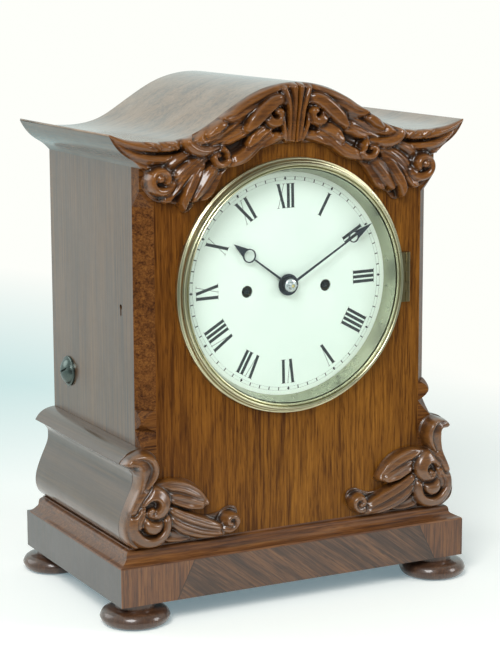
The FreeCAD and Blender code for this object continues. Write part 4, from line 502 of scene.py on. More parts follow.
def veneer(name, look):
    material, h, where, surface = startMaterial(name)
    figure = woodFigure(h, where, grainTurns[look["grain"]], look)
    wear = placeGroup(
        h, "wear", Vector=where, Base=look["roughness"], Spread=look["spread"], Dust=look["dust"]
    )
    colour = figure["Color"]
    if "banded" in look:
        colour = banded(h, where, colour, look)
    if "paintedEdgeShade" in look:
        colour = paintedEdgeShade(h, where, colour, look["paintedEdgeShade"])
    if "cavity" in look:
        colour = chased(h, colour, look)
    putShader(h, surface, {
        "Base Color": h.blendColours(wear["Dust"], colour, look["dustColour"]),
        "Roughness": wear["Roughness"], "IOR": look["ior"], "Specular IOR Level": look["shine"],
        "Coat Weight": look["coat"], "Coat Roughness": look["coatRoughness"],
        "Coat IOR": look["coatIor"],
    }, figure["Height"], look["bump"], look["depth"])
    return material


woods = {name: veneer(name, {**rosewood, **look}) for name, look in woodLooks.items()}

brassLook = {
    "colour": (0.80, 0.66, 0.33, 1), "aged": (0.42, 0.30, 0.12, 1), "tarnish": 0.35,
    "spots": (260.0, 3.0, 0.6), "spotted": (0.56, 0.74), "patched": (0.45, 0.7),
    "roughness": 0.14, "spread": 0.12, "bump": 0.06, "depth": 0.1 * mm,
    "centre": (0, 0, dialZ), "fineness": 900.0,
}
metalLooks = {  # what each metal has that plain brass has not
    "bezel_brass": {"colour": (0.70, 0.68, 0.45, 1), "aged": (0.33, 0.33, 0.21, 1),
                    "tarnish": 0.45, "roughness": 0.25, "spread": 0.10},
    "hinge_brass": {"colour": (0.33, 0.27, 0.14, 1), "aged": (0.20, 0.13, 0.06, 1),
                    "roughness": 0.26},
    "sight_brass": {"colour": (0.43, 0.44, 0.32, 1), "aged": (0.22, 0.23, 0.15, 1),
                    "roughness": 0.24, "bump": 0.25},
    "plate_brass": {"roughness": 0.24, "bump": 0.2},
    "wheel_brass": {"colour": (0.83, 0.67, 0.31, 1)},
    "fusee_brass": {"arbor": {"axis": (0.041, 0, dialZ - 0.004), "radius": 0.0034,
                              "colour": (0.018, 0.022, 0.022, 1)}},
    "bright_steel": {"colour": (0.52, 0.54, 0.55, 1), "aged": (0.24, 0.22, 0.20, 1),
                     "tarnish": 0.2, "roughness": 0.2},
    "screw_bronze": {"colour": (0.115, 0.145, 0.135, 1), "aged": (0.06, 0.065, 0.05, 1),
                     "roughness": 0.16, "spread": 0.18},
    "blued_steel": {"colour": (0.030, 0.034, 0.045, 1), "aged": (0.018, 0.018, 0.022, 1),
                    "roughness": 0.25},
}


def darkArbor(h, where, colour, arbor):
    # Steel at the two winding arbors, by the distance from their axes on either side
    radius = h.distance(h.vector("ABSOLUTE", where), arbor["axis"], (1, 0, 1))
    return h.blendColours(h.math("LESS_THAN", radius, arbor["radius"]), colour, arbor["colour"])


def metal(name, look):
    # Tarnish in spots and slow patches, and the marks of turning or brushing about a centre
    material, h, where, surface = startMaterial(name)
    wear = placeGroup(
        h, "wear", Vector=where, Base=look["roughness"], Spread=look["spread"], Dust=0.0
    )
    brush = placeGroup(h, "turned", Vector=where, Centre=look["centre"],
                       Fineness=look["fineness"])
    spots = h.span(h.noise(where, *look["spots"]), *look["spotted"])
    patches = h.span(wear["Height"], *look["patched"])
    aged = h.math("MULTIPLY", h.math("MAXIMUM", spots, patches), look["tarnish"])
    colour = h.blendColours(aged, look["colour"], look["aged"])
    if "arbor" in look:
        colour = darkArbor(h, where, colour, look["arbor"])
    putShader(h, surface, {"Base Color": colour, "Metallic": 1.0, "Roughness": wear["Roughness"]},
              brush["Height"], look["bump"], look["depth"])
    return material


metals = {name: metal(name, {**brassLook, **look}) for name, look in metalLooks.items()}

glassLook = {
    "tint": (0.97, 0.99, 0.985, 1), "ior": 1.45, "smear": (30.0, 3.0, 0.6),
    "smeared": (0.55, 0.85, 0.0, 0.04),
}


def clearGlass(name, look):
    # Light falls straight through a pane, so it lays no shadow on the dial
    material, h, where, surface = startMaterial(name)
    pane = h.fill(h.add("ShaderNodeBsdfPrincipled"), {
        "Base Color": look["tint"], "Transmission Weight": 1.0, "IOR": look["ior"],
        "Roughness": h.span(h.noise(where, *look["smear"]), *look["smeared"]),
    })
    path = h.add("ShaderNodeLightPath").outputs
    straight = h.math("MAXIMUM", path["Is Shadow Ray"], path["Is Diffuse Ray"])
    h.put(surface, h.mixShaders(straight, pane, h.add("ShaderNodeBsdfTransparent")))
    return material


enamelLook = {
    "white": (0.77, 0.91, 0.83, 1), "clouded": (0.71, 0.86, 0.78, 1), "cloud": (14.0, 4.0, 0.6),
    "cloudy": (0.4, 0.7), "speck": (0.35, 0.33, 0.28, 1), "specks": (420.0, 2.0, 0.5),
    "specked": (0.74, 0.80), "rim": (0.62, 0.62, 0.50, 1), "rimAt": (0.096, 0.104),
    "amount": 0.25, "roughness": (0.3, 0.7, 0.38, 0.5), "bump": 0.05, "depth": 0.1 * mm,
}


def enamelWhite(name, look):
    # White with faint clouds, a few specks, and a yellower rim by the distance from its middle
    material, h, where, surface = startMaterial(name)
    cloud = h.noise(where, *look["cloud"])
    colour = h.blendColours(h.span(cloud, *look["cloudy"]), look["white"], look["clouded"])
    specks = h.span(h.noise(where, *look["specks"]), *look["specked"])
    colour = h.blendColours(h.math("MULTIPLY", specks, look["amount"]), colour, look["speck"])
    rim = h.span(h.distance(where, (0, 0, dialZ), (1, 0, 1)), *look["rimAt"])
    colour = h.blendColours(h.math("MULTIPLY", rim, look["amount"]), colour, look["rim"])
    putShader(h, surface, {"Base Color": colour, "Roughness": h.span(cloud, *look["roughness"])},
              cloud, look["bump"], look["depth"])
    return material


waxLook = {
    "black": (0.020, 0.026, 0.028, 1), "chipped": (0.10, 0.12, 0.12, 1),
    "chips": (700.0, 3.0, 0.6), "chipAt": (0.62, 0.74), "roughness": (0.3, 0.7, 0.4, 0.6),
    "shine": 0.2, "bump": 0.2, "depth": 0.05 * mm,
}


def blackWax(name, look):
    # Black with small greyer chips
    material, h, where, surface = startMaterial(name)
    chips = h.noise(where, *look["chips"])
    putShader(h, surface, {
        "Base Color": h.blendColours(h.span(chips, *look["chipAt"]), look["black"],
                                     look["chipped"]),
        "Roughness": h.span(chips, *look["roughness"]), "Specular IOR Level": look["shine"],
    }, chips, look["bump"], look["depth"])
    return material


gutLook = {
    "light": (0.50, 0.34, 0.15, 1), "dark": (0.30, 0.19, 0.08, 1), "turns": 900.0,
    "unevenness": 0.6, "roughness": 0.45, "bump": 0.5, "depth": 0.1 * mm,
}


def gutLine(name, look):
    # Slanting bands of a twisted line
    material, h, where, surface = startMaterial(name)
    wave = h.add("ShaderNodeTexWave", {"bands_direction": "DIAGONAL"}, Vector=where,
                 Scale=look["turns"], Distortion=look["unevenness"]).outputs["Fac"]
    putShader(h, surface, {
        "Base Color": h.blendColours(wave, look["light"], look["dark"]),
        "Roughness": look["roughness"],
    }, wave, look["bump"], look["depth"])
    return material


glass = clearGlass("pane_glass", glassLook)
enamel = enamelWhite("dial_white", enamelLook)
wax = blackWax("numeral_wax", waxLook)
gut = gutLine("twisted_gut", gutLook)

finishes = [  # every other node is wheel brass
    (woods["side_veneer"], ["side_panel_left", "side_panel_right"]),
    (woods["front_veneer"], ["front_panel"]),
    (woods["corner_veneer"], ["canted_corners"]),
    (woods["base_veneer"], ["base_frame"]),
    (woods["moulding_veneer"], ["plinth_moulding"]),
    (woods["skirt_veneer"], ["side_skirts"]),
    (woods["roof_veneer"], ["roof_board"]),
    (woods["cornice_veneer"], ["cornice_mouldings"]),
    (woods["turned_wood"], ["bun_feet"]),
    (woods["carved_wood"], ["crest_carving_left", "crest_carving_right"]),
    (woods["bracket_wood"], ["corner_carving_left", "corner_carving_right"]),
    (woods["back_veneer"], ["back_frame", "back_door"]),
    (woods["seat_oak"], ["seat_board"]),
    (glass, ["back_door_glass", "bezel_glass"]),
    (metals["bezel_brass"], ["back_door_hinges", "back_door_hinge_leaves", "back_door_catch",
                             "bezel_ring", "bezel_catch_eye"]),
    (metals["hinge_brass"], ["bezel_hinge_plate", "bezel_hinge_leaf"]),
    (metals["sight_brass"], ["sight_ring"]),
    (enamel, ["dial_plate"]),
    (metals["plate_brass"], ["case_lock", "front_plate", "back_plate", "back_cock",
                             "plate_pillars", "pendulum", "gong_stand"]),
    (metals["bright_steel"], ["lock_bolt", "hand_collet", "anchor", "hammer"]),
    (metals["blued_steel"], ["hour_hand", "minute_hand", "gong"]),
    (gut, ["gut_lines"]),
    (metals["fusee_brass"], ["going_fusee", "strike_fusee"]),
]
nodeMaterials = {node: material for material, nodes in finishes for node in nodes}
for node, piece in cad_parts.items():
    material = nodeMaterials.get(node, metals["wheel_brass"])
    if not piece.data.materials:
        piece.data.materials.append(material)
    for slot in piece.material_slots:
        slot.material = material
print("materials placed")

foot = {  # radius and height of the profile, from the floor up
    "lower": [(18, 0), (30, 3.06), (32.2, 7.65)],
    "upper": [(32.2, 7.65), (30, 12.24), (19.5, 15.3)],
    "neck": [(18, 15.9), (18, 21), (0, 21)],
    "points": 14, "steps": 112, "x": 159.3 * mm, "y": 95.5 * mm, "sharp": 50,
}


def bunFeet():
    # A flattened ball of two curves under a straight neck, turned about four upright axes
    lower, upper = (smoothLine(np.asarray(foot[key]) * mm, foot["points"])
                    for key in ("lower", "upper"))
    profile = np.concatenate([[(0, 0)], lower, upper[1:], np.asarray(foot["neck"]) * mm])
    parts = [
        revolved(profile, (side * foot["x"], end * foot["y"], 0), "Z", foot["steps"])
        for side in (-1, 1) for end in (-1, 1)
    ]
    piece = makePiece("turned_feet", *joinMeshes(parts), woods["turned_wood"], "case",
                      "carved_wood", foot["sharp"])
    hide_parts("bun_feet")


bunFeet()

roof = {  # heights are above the case top
    "steps": 120, "coveSteps": 24, "edge": (0.7 * mm, 2), "inner": 138 * mm,
    "top": [(0, 71), (20, 69), (40, 63), (60, 52.5), (80, 40), (100, 28.8), (115, 24.5),
            (132, 23), (150, 23.8), (165, 25.8), (181.5, 31)],
    "under": [(0, 61), (20, 59), (40, 52.5), (60, 42), (80, 29.5), (100, 18.5), (115, 14.5),
              (132, 13.5), (150, 15), (165, 19.5), (181.5, 29)],
    "cove": [(181.5, 29), (175, 19), (165, 10.5), (158, 6), (152, 0)],
}


def aboveCase(points):
    return np.asarray(points, float) * mm + (0, caseTop)


def bothSides(points):
    # The right half's points with their mirror images before them
    p = aboveCase(points)
    return np.concatenate([p[:0:-1] * (-1, 1), p])


roofTop, roofUnder = (smoothLine(bothSides(roof[key]), 2 * roof["steps"] + 1)
                      for key in ("top", "under"))
coveLine = smoothLine(aboveCase(roof["cove"]), roof["coveSteps"])


def roofBoard():
    # The space between the curve of the top and that of the underside, carried from front to back
    loop = joined([roofTop, [roofTop[-1], roofUnder[-1]], roofUnder[::-1],
                   [roofUnder[0], roofTop[0]]])
    piece = makePiece("curved_roof", *prism(loop, roofFront, caseBack), woods["roof_veneer"],
                      "case", "case_veneer", edge=roof["edge"])
    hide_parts("roof_board")


def corniceMouldings():
    # The space under the roof's end, inside the hollow curve of the cove, carried from front to
    # back, and its mirror image
    inner = roof["inner"]
    under = roofUnder[roofUnder[:, 0] >= inner]
    loop = joined([coveLine, [coveLine[-1], (inner, caseTop)], [(inner, caseTop), under[0]],
                   under, [under[-1], coveLine[0]]])
    apart = np.linalg.norm(np.diff(loop, axis=0), axis=1) > meshRules["merge"]
    part = prism(loop[np.r_[True, apart]], roofFront, caseBack)
    piece = makePiece("cove_mouldings", *withMirror(part), woods["cornice_veneer"], "case",
                      "case_veneer")
    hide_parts("cornice_mouldings")


roofBoard()
corniceMouldings()

skirt = {  # heights are above the moulding, and distances aside are past x
    "x": 152, "front": -95 * mm, "edge": (0.4 * mm, 2),
    "curves": [
        ([(12, 0), (19, 6.5), (22, 18), (19, 32), (12.5, 47), (8.3, 58), (8, 67)], 40),
        ([(8, 67), (11, 71.5), (21, 78)], 12),
        ([(21, 78), (17.5, 83), (10, 88), (0, 90)], 16),
    ],
}


def sideSkirts():
    # A belly, a hollow and a nose, curve after curve, carried from front to back, with its mirror
    # image
    corner = np.array([skirt["x"] * mm, mouldingTop])
    runs = [smoothLine(np.asarray(points) * mm + corner, count)
            for points, count in skirt["curves"]]
    loop = joined(runs + [[runs[-1][-1], corner], [corner, runs[0][0]]])
    part = prism(loop, skirt["front"], caseBack)
    piece = makePiece("flared_skirts", *withMirror(part), woods["skirt_veneer"], "case",
                      "case_veneer", edge=skirt["edge"])
    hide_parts("side_skirts")


sideSkirts()

plinth = {  # a profile point is its distance in from the base's edge, and its height above it
    "width": 362 * mm, "depth": 230 * mm, "back": 108 * mm, "sideInner": 29 * mm, "sharp": 30,
    "curves": [
        ([(0, 0), (0.6, 1.45)], 2),
        ([(0.6, 1.45), (4.5, 2.9), (9, 5.95)], 14),
        ([(9, 5.95), (9.6, 6.96)], 2),
        ([(9.6, 6.96), (10.8, 11.6), (14.7, 13.49)], 14),
    ],
    "ledge": [(14.7, 13.49), (14.7, 14.5), (15, 14.5)],
}


def plinthMoulding():
    # The profile goes round three sides, with mitres at the front corners
    runs = [smoothLine(np.asarray(points) * mm, count) for points, count in plinth["curves"]]
    profile = np.concatenate([joined(runs), np.asarray(plinth["ledge"]) * mm])
    ledge, top = profile[-1]
    inner = plinth["sideInner"]
    aside = np.r_[profile[:, 0], inner, inner]
    front = np.r_[profile[:, 0], ledge, ledge] - plinth["depth"] / 2
    height = np.r_[profile[:, 1], top, 0] + baseTop
    count = len(height)
    back = np.full(count, plinth["back"])
    x = (plinth["width"] / 2 - aside)[:, None] * (-1, -1, 1, 1)
    y = np.stack([back, front, front, back], 1)
    verts = np.stack([x, y, np.repeat(height[:, None], 4, 1)], 2).reshape(-1, 3)
    faces = gridFaces(count, 4, closeRows=True).tolist()
    faces += [list(range(0, 4 * count, 4)), list(range(3, 4 * count, 4))[::-1]]
    piece = makePiece("plinth_mouldings", verts, faces, woods["moulding_veneer"], "case",
                      "carved_wood", plinth["sharp"])
    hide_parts("plinth_moulding")


plinthMoulding()
print("case pieces made")

carving = {  # what the crest and the brackets share
    "points": 64, "spiralPoints": 28, "margin": 3 * mm, "border": 3, "sharp": 75,
    "low": 0.30, "knobLow": 0.55,  # what is left of a height where an edge has rolled over
    "fadeAt": (0, 0.15, 0.8, 1), "fadeStart": 0.4,  # how a flute's depth grows along a leaf
    "grooveWide": 2.2 * mm, "laidOver": 0.8, "pull": 1.2,  # the last two in cells
    "smoothing": 4, "proud": 0.7 * mm,
    # rimTone is the least cavity at the rim, so the painted shade there stays short of black
    "cavity": [(16, 7.0 * mm), (110, 7.5 * mm)], "rimTone": 0.38,  # passes, and depth for 1
}
leafNormal = {
    "roll": 3.8, "flutes": 1, "depth": 2.2, "fold": False, "spoon": 0.6, "tilt": 0.0,
    "groove": 1.2,
}


def segmentDistance(x, z, loop):
    # Signed distance to a closed loop: the least distance to its segments, inside counted plus
    best = np.full(x.shape, np.inf)
    inside = np.zeros(x.shape, bool)
    tiny = 1e-12
    for (ax, az), (bx, bz) in zip(loop, np.roll(loop, -1, axis=0)):
        dx, dz = bx - ax, bz - az
        length = dx * dx + dz * dz
        if length < 1e-16:
            continue
        t = np.clip(((x - ax) * dx + (z - az) * dz) / length, 0, 1)
        best = np.minimum(best, (x - ax - t * dx) ** 2 + (z - az - t * dz) ** 2)
        crosses = (az > z) != (bz > z)
        cut = ax + (z - az) * dx / (dz if abs(dz) > tiny else tiny)
        inside ^= crosses & (x < cut)
    return np.where(inside, 1, -1) * np.sqrt(best)


def alongLine(x, z, line):
    # For each point, u along the line from 0 to 1, its distance to the left of the line, and how
    # far it lies past an end, all from the nearest point of the line and its tangent
    gap = (x[:, None] - line[None, :, 0]) ** 2 + (z[:, None] - line[None, :, 1]) ** 2
    k = gap.argmin(1)
    tangent = np.gradient(line, axis=0)
    tangent /= np.linalg.norm(tangent, axis=1)[:, None]
    offX, offZ, (tanX, tanZ) = x - line[k, 0], z - line[k, 1], tangent[k].T
    step = np.linalg.norm(line[1] - line[0])
    count = len(line) - 1
    u = (k + (offX * tanX + offZ * tanZ) / step) / count
    past = np.maximum(np.maximum(-u, u - 1), 0) * count * step
    return np.clip(u, 0, 1), offZ * tanX - offX * tanZ, past


def leafHeight(x, z, leaf):
    # A gouged leaf: along its line u runs 0 to 1, and across it v runs -1 to 1. Its top rises with
    # u, its edges roll over a quarter round, and each of its flutes is a hollow between two
    # ridges: a cosine, or a fold with straight sides. The second result is the distance inside
    # its edge
    given = np.asarray(leaf["line"], float)
    line = smoothLine(given[:, :2] * mm, carving["points"]) + leaf["from"]
    chord = np.r_[0, np.cumsum(np.linalg.norm(np.diff(given[:, :2], axis=0), axis=1))]
    reach = given[:, 2].max() * mm + carving["margin"]
    low, high = line.min(0) - reach, line.max(0) + reach
    near = (x > low[0]) & (x < high[0]) & (z > low[1]) & (z < high[1])
    u, side, past = alongLine(x[near], z[near], line)
    width = np.interp(u, chord / chord[-1], given[:, 2]) * mm
    v = side / width
    lateral = np.sqrt(v**2 + (past / width) ** 2)
    roll = np.clip((1 - lateral) * width / (leaf["roll"] * mm), 0, 1)
    edge = np.sqrt(1 - (1 - roll) ** 2)
    across = 2 * ((np.clip(v, -0.999, 0.999) + 1) / 2 * leaf["flutes"] % 1) - 1
    flute = 1 - np.abs(across) if leaf["fold"] else 0.5 + 0.5 * np.cos(np.pi * across)
    fade = np.interp(u, carving["fadeAt"], (carving["fadeStart"], 1, 1, leaf["spoon"]))
    hollow = leaf["depth"] * mm * flute * fade
    rise = np.interp(u, np.linspace(0, 1, len(leaf["rise"])), leaf["rise"]) * mm
    tilt = leaf["tilt"] * mm * v
    height = np.zeros(x.shape)
    inside = np.full(x.shape, -1.0)
    kept = carving["low"] + (1 - carving["low"]) * edge
    height[near] = (rise + tilt) * kept - hollow * edge
    inside[near] = (1 - lateral) * width
    return height, inside


def spiralLine(scroll):
    # A rolled band: its radius shrinks evenly with the angle, and it narrows to its inner end
    cx, cz, outer, inner = scroll["spiral"]
    start, sweep, wide, narrow = scroll["turn"]
    share = np.linspace(0, 1, carving["spiralPoints"])
    angle = np.radians(start + sweep * share)
    radius = outer + (inner - outer) * share
    return np.stack([cx + radius * np.cos(angle), cz + radius * np.sin(angle),
                     wide + (narrow - wide) * share], 1)


def knobHeight(x, z, knob):
    # A round boss: a low dome with its edge turned down
    cx, cz, radius = (value * mm for value in knob["at"])
    share = np.sqrt((x - cx - knob["from"][0]) ** 2 + (z - cz - knob["from"][1]) ** 2) / radius
    dome = np.sqrt(np.clip(1 - np.clip(share, 0, 1) ** 2, 0, 1))
    kept = carving["knobLow"] + (1 - carving["knobLow"]) * dome
    return knob["rise"] * mm * kept, (1 - share) * radius


def soften(field, passes):
    # Each pass makes a point half itself and a quarter each neighbour, one way and then the other
    for _ in range(passes):
        tall = np.pad(field, ((1, 1), (0, 0)), mode="edge")
        field = (tall[:-2] + 2 * field + tall[2:]) / 4
        wide = np.pad(field, ((0, 0), (1, 1)), mode="edge")
        field = (wide[:, :-2] + 2 * field + wide[:, 2:]) / 4
    return field


def reliefHeight(x, z, cover, zero, spec):
    # Leaves are laid in order, each over those before it, with a groove chased round it. The
    # second result is the cavity: a half, and more where a point stands over what lies round it
    height = np.full(x.shape, spec["ground"])
    for shape in spec["shapes"]:
        shape = {**leafNormal, **shape, "from": zero}
        if "spiral" in shape:
            shape["line"] = spiralLine(shape)
        value, edge = (knobHeight if "at" in shape else leafHeight)(x, z, shape)
        groove = shape["groove"] * mm * np.exp(-((edge / carving["grooveWide"]) ** 2))
        height = np.where(edge < 0, np.maximum(height - groove, spec["floor"]), height)
        laid = np.clip(edge / (carving["laidOver"] * spec["cell"]) + 0.5, 0, 1)
        height = height + (spec["slab"] + value - height) * laid
    height = np.clip(soften(height, carving["smoothing"]), spec["floor"], spec["most"])
    cavity = np.full(x.shape, 0.5)
    for passes, depth in carving["cavity"]:
        cavity += (height - soften(height, passes)) / depth
    cavity = np.clip(cavity, 0, 1)
    # At the rim the cavity is kept up, so the painted shade there stays short of black
    return height, np.where(cover < spec["round"], np.maximum(cavity, carving["rimTone"]), cavity)


def reliefMesh(x, z, cover, height, backAt, cell):
    # Front and back faces over the cells that the outline touches, and walls where they end. Border
    # points are pulled onto the outline down the slope of its distance. The last result is a mask
    # of the grid's used points
    keepPoint = cover > 0
    keepCell = keepPoint[:-1, :-1] | keepPoint[1:, :-1] | keepPoint[:-1, 1:] | keepPoint[1:, 1:]
    slopeZ, slopeX = np.gradient(cover, cell)
    pull = np.where(keepPoint, 0, cover / np.maximum(slopeX**2 + slopeZ**2, 1e-3))
    most = carving["pull"] * cell
    px = x - np.clip(pull * slopeX, -most, most)
    pz = z - np.clip(pull * slopeZ, -most, most)
    used = np.zeros(x.shape, bool)
    for a in (slice(None, -1), slice(1, None)):
        for b in (slice(None, -1), slice(1, None)):
            used[a, b] |= keepCell
    count = int(used.sum())
    index = np.full(x.shape, -1)
    index[used] = np.arange(count)
    px, pz = px[used], pz[used]
    front = np.stack([px, caseFront - height[used], pz], 1)
    back = np.stack([px, backAt(px, pz), pz], 1)
    quad = np.stack([index[:-1, :-1], index[:-1, 1:], index[1:, 1:], index[1:, :-1]], 2)[keepCell]
    faces = [quad, quad[:, ::-1] + count]
    padded = np.pad(keepCell, 1)
    for dz, dx, first, second in ((-1, 0, (0, 0), (0, 1)), (1, 0, (1, 1), (1, 0)),
                                  (0, -1, (1, 0), (0, 0)), (0, 1, (0, 1), (1, 1))):
        neighbour = padded[1 + dz : padded.shape[0] - 1 + dz, 1 + dx : padded.shape[1] - 1 + dx]
        i, j = np.nonzero(keepCell & ~neighbour)
        a = index[i + first[0], j + first[1]]
        b = index[i + second[0], j + second[1]]
        faces.append(np.stack([b, a, a + count, b + count], 1))
    return np.concatenate([front, back]), np.concatenate(faces), used


def carvedRelief(loop, zero, backAt, spec):
    # Height field over the outline, with its edge rounded over. It stays in front of the face of
    # what the carving is fixed to
    cell = spec["cell"]
    border = carving["border"] * cell
    low, high = loop.min(0) - border, loop.max(0) + border
    x, z = np.meshgrid(np.arange(low[0], high[0], cell), np.arange(low[1], high[1], cell))
    cover = segmentDistance(x, z, loop)
    height, cavity = reliefHeight(x, z, cover, zero, spec)
    rim = np.clip(cover / spec["round"], 0, 1)
    rounded = carving["low"] + (1 - carving["low"]) * np.sqrt(np.clip(1 - (1 - rim) ** 2, 0, 1))
    least = np.maximum(spec["floor"], caseFront - backAt(x, z) + carving["proud"])
    height = np.maximum(least + (height - least) * rounded, least)
    verts, faces, used = reliefMesh(x, z, cover, height, backAt, cell)
    tone = np.concatenate([cavity[used], np.full(int(used.sum()), 0.5)])
    return verts, faces, tone


def carvedPiece(name, verts, faces, tone, material, node):
    mesh = bpy.data.meshes.new(name)
    mesh.from_pydata(verts.tolist(), [], faces.tolist())
    mesh.attributes.new("cavity", "FLOAT", "POINT").data.foreach_set("value", tone)
    shadeSmooth(mesh, carving["sharp"])
    mesh.materials.append(material)
    piece = placed(name, mesh)
    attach(piece, "case")
    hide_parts(node)


def carvedPair(pieceName, nodeName, relief, material):
    # The right piece as it is, and the left one with x reversed and its faces the other way round
    verts, faces, tone = relief
    for side, factor in (("right", 1), ("left", -1)):
        carvedPiece(pieceName.format(side), verts * (factor, 1, 1), faces[:, ::factor], tone,
                    material, nodeName.format(side))


crest = {  # heights are above the case top, for the right half
    "cell": 0.56 * mm, "ground": 3.0 * mm, "slab": 2.6 * mm, "floor": 1.0 * mm, "round": 2.4 * mm,
    "most": 18.5 * mm, "points": {"lower": 90, "side": 40},
    "lower": [(0, 16), (20, 15), (35, 11), (46, 3), (56, -1.5), (68, -5), (75, -13), (82, -24),
              (90, -31), (98, -33), (105, -40), (112, -40.5), (117, -34), (124, -32)],
    "side": [(124, -32), (136, -30), (146, -22), (150.5, -12), (148, -3), (152, 0)],
    "shapes": [
        # bands that run out to the tip, with scallops on their upper edge
        {"line": [(98, 3, 3), (116, 0, 4), (134, -0.5, 4), (149, 3, 3.6), (162, 9, 2.2)],
         "rise": [5, 6.5, 7, 6.5, 5], "flutes": 1, "depth": 1.6},
        {"line": [(98, 12, 3.5), (119, 7.5, 4.6), (137, 7, 4.8), (153, 10.5, 4.2),
                  (166, 17, 3), (177, 25, 1.4)], "rise": [6, 8, 8.5, 8, 6.5, 4.5], "flutes": 2,
         "depth": 1.5},
        {"line": [(101, 24, 4), (118, 19.6, 5.2), (136, 18.4, 5.2), (152, 19.8, 5),
                  (167, 23.6, 3.6), (181, 30.4, 1.8)], "rise": [7, 9, 9, 8.5, 7, 5],
         "flutes": 2, "depth": 1.4},
        {"line": [(128, 24, 2.6), (122, 21, 3.4), (117.5, 17, 2.4)], "rise": [9, 11.5, 10],
         "depth": 0.8},
        {"line": [(147, 24.5, 2.8), (141, 22, 3.6), (135, 17, 2.4)], "rise": [9, 11, 9.5],
         "depth": 0.8},
        # the fan that hangs at the outer end, from behind to in front
        {"line": [(92, 18, 3.5), (106, 12, 5), (119, 6, 5), (129, -1, 3.5)],
         "rise": [6, 8, 8.5, 7], "flutes": 2, "depth": 1.8},
        {"line": [(80, 12, 4), (96, 5, 6.5), (110, -5, 8), (121, -17, 8), (128, -28, 5)],
         "rise": [6.5, 8.5, 9, 8.5, 7], "flutes": 4, "depth": 1.9},
        {"line": [(70, -3, 3.5), (77, -12, 5.5), (85, -22, 6), (92, -29, 4)],
         "rise": [5.5, 7.5, 8.5, 7.5], "flutes": 1, "depth": 2.0},
        {"line": [(76, 4, 4), (86, -7, 6.5), (95, -18, 6.5), (102, -28, 4.5)],
         "rise": [7, 10, 11, 9.5], "flutes": 2, "depth": 1.7},
        {"line": [(92, 1, 3), (101, -10, 5), (108, -21, 5.5), (112.5, -31, 4.5), (113, -37, 3)],
         "rise": [7, 10.5, 12.5, 14, 12], "flutes": 1, "depth": 2.6, "tilt": 1.0},
        {"at": (134.5, -10.5, 13.5), "rise": 7},
        {"spiral": (134.5, -10.5, 11.8, 5.2), "turn": (-160, 350, 4.6, 4.2),
         "rise": [8, 11, 13, 14, 13.5], "depth": 0.5, "roll": 4.4, "spoon": 1.0},
        {"at": (136.5, -9, 4.2), "rise": 13.5, "groove": 1.6},
        # lower leaf, from the middle to its volute
        {"line": [(9, 23, 3.5), (22, 21.5, 5.5), (34, 16.5, 6), (44, 9.5, 5)],
         "rise": [5, 7.5, 8.5, 7.5], "flutes": 2, "depth": 2.0},
        {"line": [(26, 25, 4), (38, 18, 6), (49, 9, 7), (60, 3.5, 6.5), (71, 1.5, 4.5)],
         "rise": [7, 8.5, 9.5, 11.5, 12], "flutes": 2, "depth": 2.0},
        # middle leaves
        {"line": [(34, 33, 5), (50, 31, 7.5), (66, 26, 8.5), (81, 19.5, 7.5), (95, 15, 5)],
         "rise": [7, 9, 9.5, 9.5, 9], "flutes": 4, "depth": 1.9},
        {"line": [(24, 32, 4), (34, 29, 6), (43, 22.5, 5.5), (48, 17, 3.5)],
         "rise": [7, 10, 12, 11], "flutes": 1, "depth": 2.6, "tilt": -1.0},
        {"at": (76, 8, 8.5), "rise": 5, "groove": 2.0},
        {"spiral": (76, 8, 8.4, 5.6), "turn": (-150, 330, 3.8, 3.0),
         "rise": [11, 13, 14, 13.5], "depth": 0.4, "spoon": 1.0},
        {"at": (78, 8.5, 2.6), "rise": 10},
        # the leaf under the long curl, with its stepped tip, and the curl beyond it
        {"line": [(52, 42, 5), (66, 37.5, 7.5), (80, 31, 8.5), (93, 24.5, 6.5), (102, 21, 4.5)],
         "rise": [8, 10, 11, 12, 12.5], "flutes": 4, "depth": 2.2},
        {"line": [(78, 15.5, 3), (91, 13, 5.2), (103, 15.5, 5.8), (109.5, 22, 5), (106, 29, 3.4)],
         "rise": [8, 11.5, 14, 14.5, 12], "flutes": 2, "depth": 1.5},
        {"line": [(67, 40, 3), (74, 37.5, 5), (82, 32, 5.6), (89, 27, 3.6)],
         "rise": [11, 14.5, 15.5, 13], "depth": 0.8, "roll": 4.5, "groove": 2.4},
        # upper leaf along the roofline, then the knobbed leaf under it
        {"line": [(-6, 65.2, 6), (6, 64.8, 6.4), (20, 61.5, 7.6), (37, 55, 8.5), (54, 47.5, 8),
                  (67, 42, 6), (74, 42.5, 3.5)],
         "rise": [9, 10, 10, 10.5, 10.5, 11.5, 13], "flutes": 3, "depth": 2.6},
        {"spiral": (20.5, 42.5, 12.0, 3.0), "turn": (120, -380, 6.0, 4.0),
         "rise": [8, 10, 12, 13, 13], "depth": 0.9, "spoon": 1.0},
        {"line": [(9, 52, 3.5), (15, 56, 5.5), (25, 53.5, 7), (36, 45, 7.6), (45, 36.5, 7),
                  (50, 31, 4.5)], "rise": [10, 13, 14, 14, 14.5, 13.5], "flutes": 1,
         "depth": 1.0, "roll": 4.5},
        # half of the palmette in the middle
        {"line": [(8, 18, 1.8), (10.5, 27, 2.6), (12.5, 36, 2.6), (11.5, 43, 1.8)],
         "rise": [6, 9, 10, 8], "depth": 0.6},
        {"line": [(4.6, 18, 1.8), (6, 32, 2.6), (7, 48, 3.2), (9.5, 58, 3.8), (12.5, 65, 3.4)],
         "rise": [7, 9.5, 11.5, 13, 12], "depth": 0.8},
        {"line": [(1.0, 18, 2.2), (1.0, 38, 2.8), (1.6, 54, 3.8), (3.0, 66.5, 4.2)],
         "rise": [8, 10.5, 13, 14], "depth": 0.8},
    ],
}


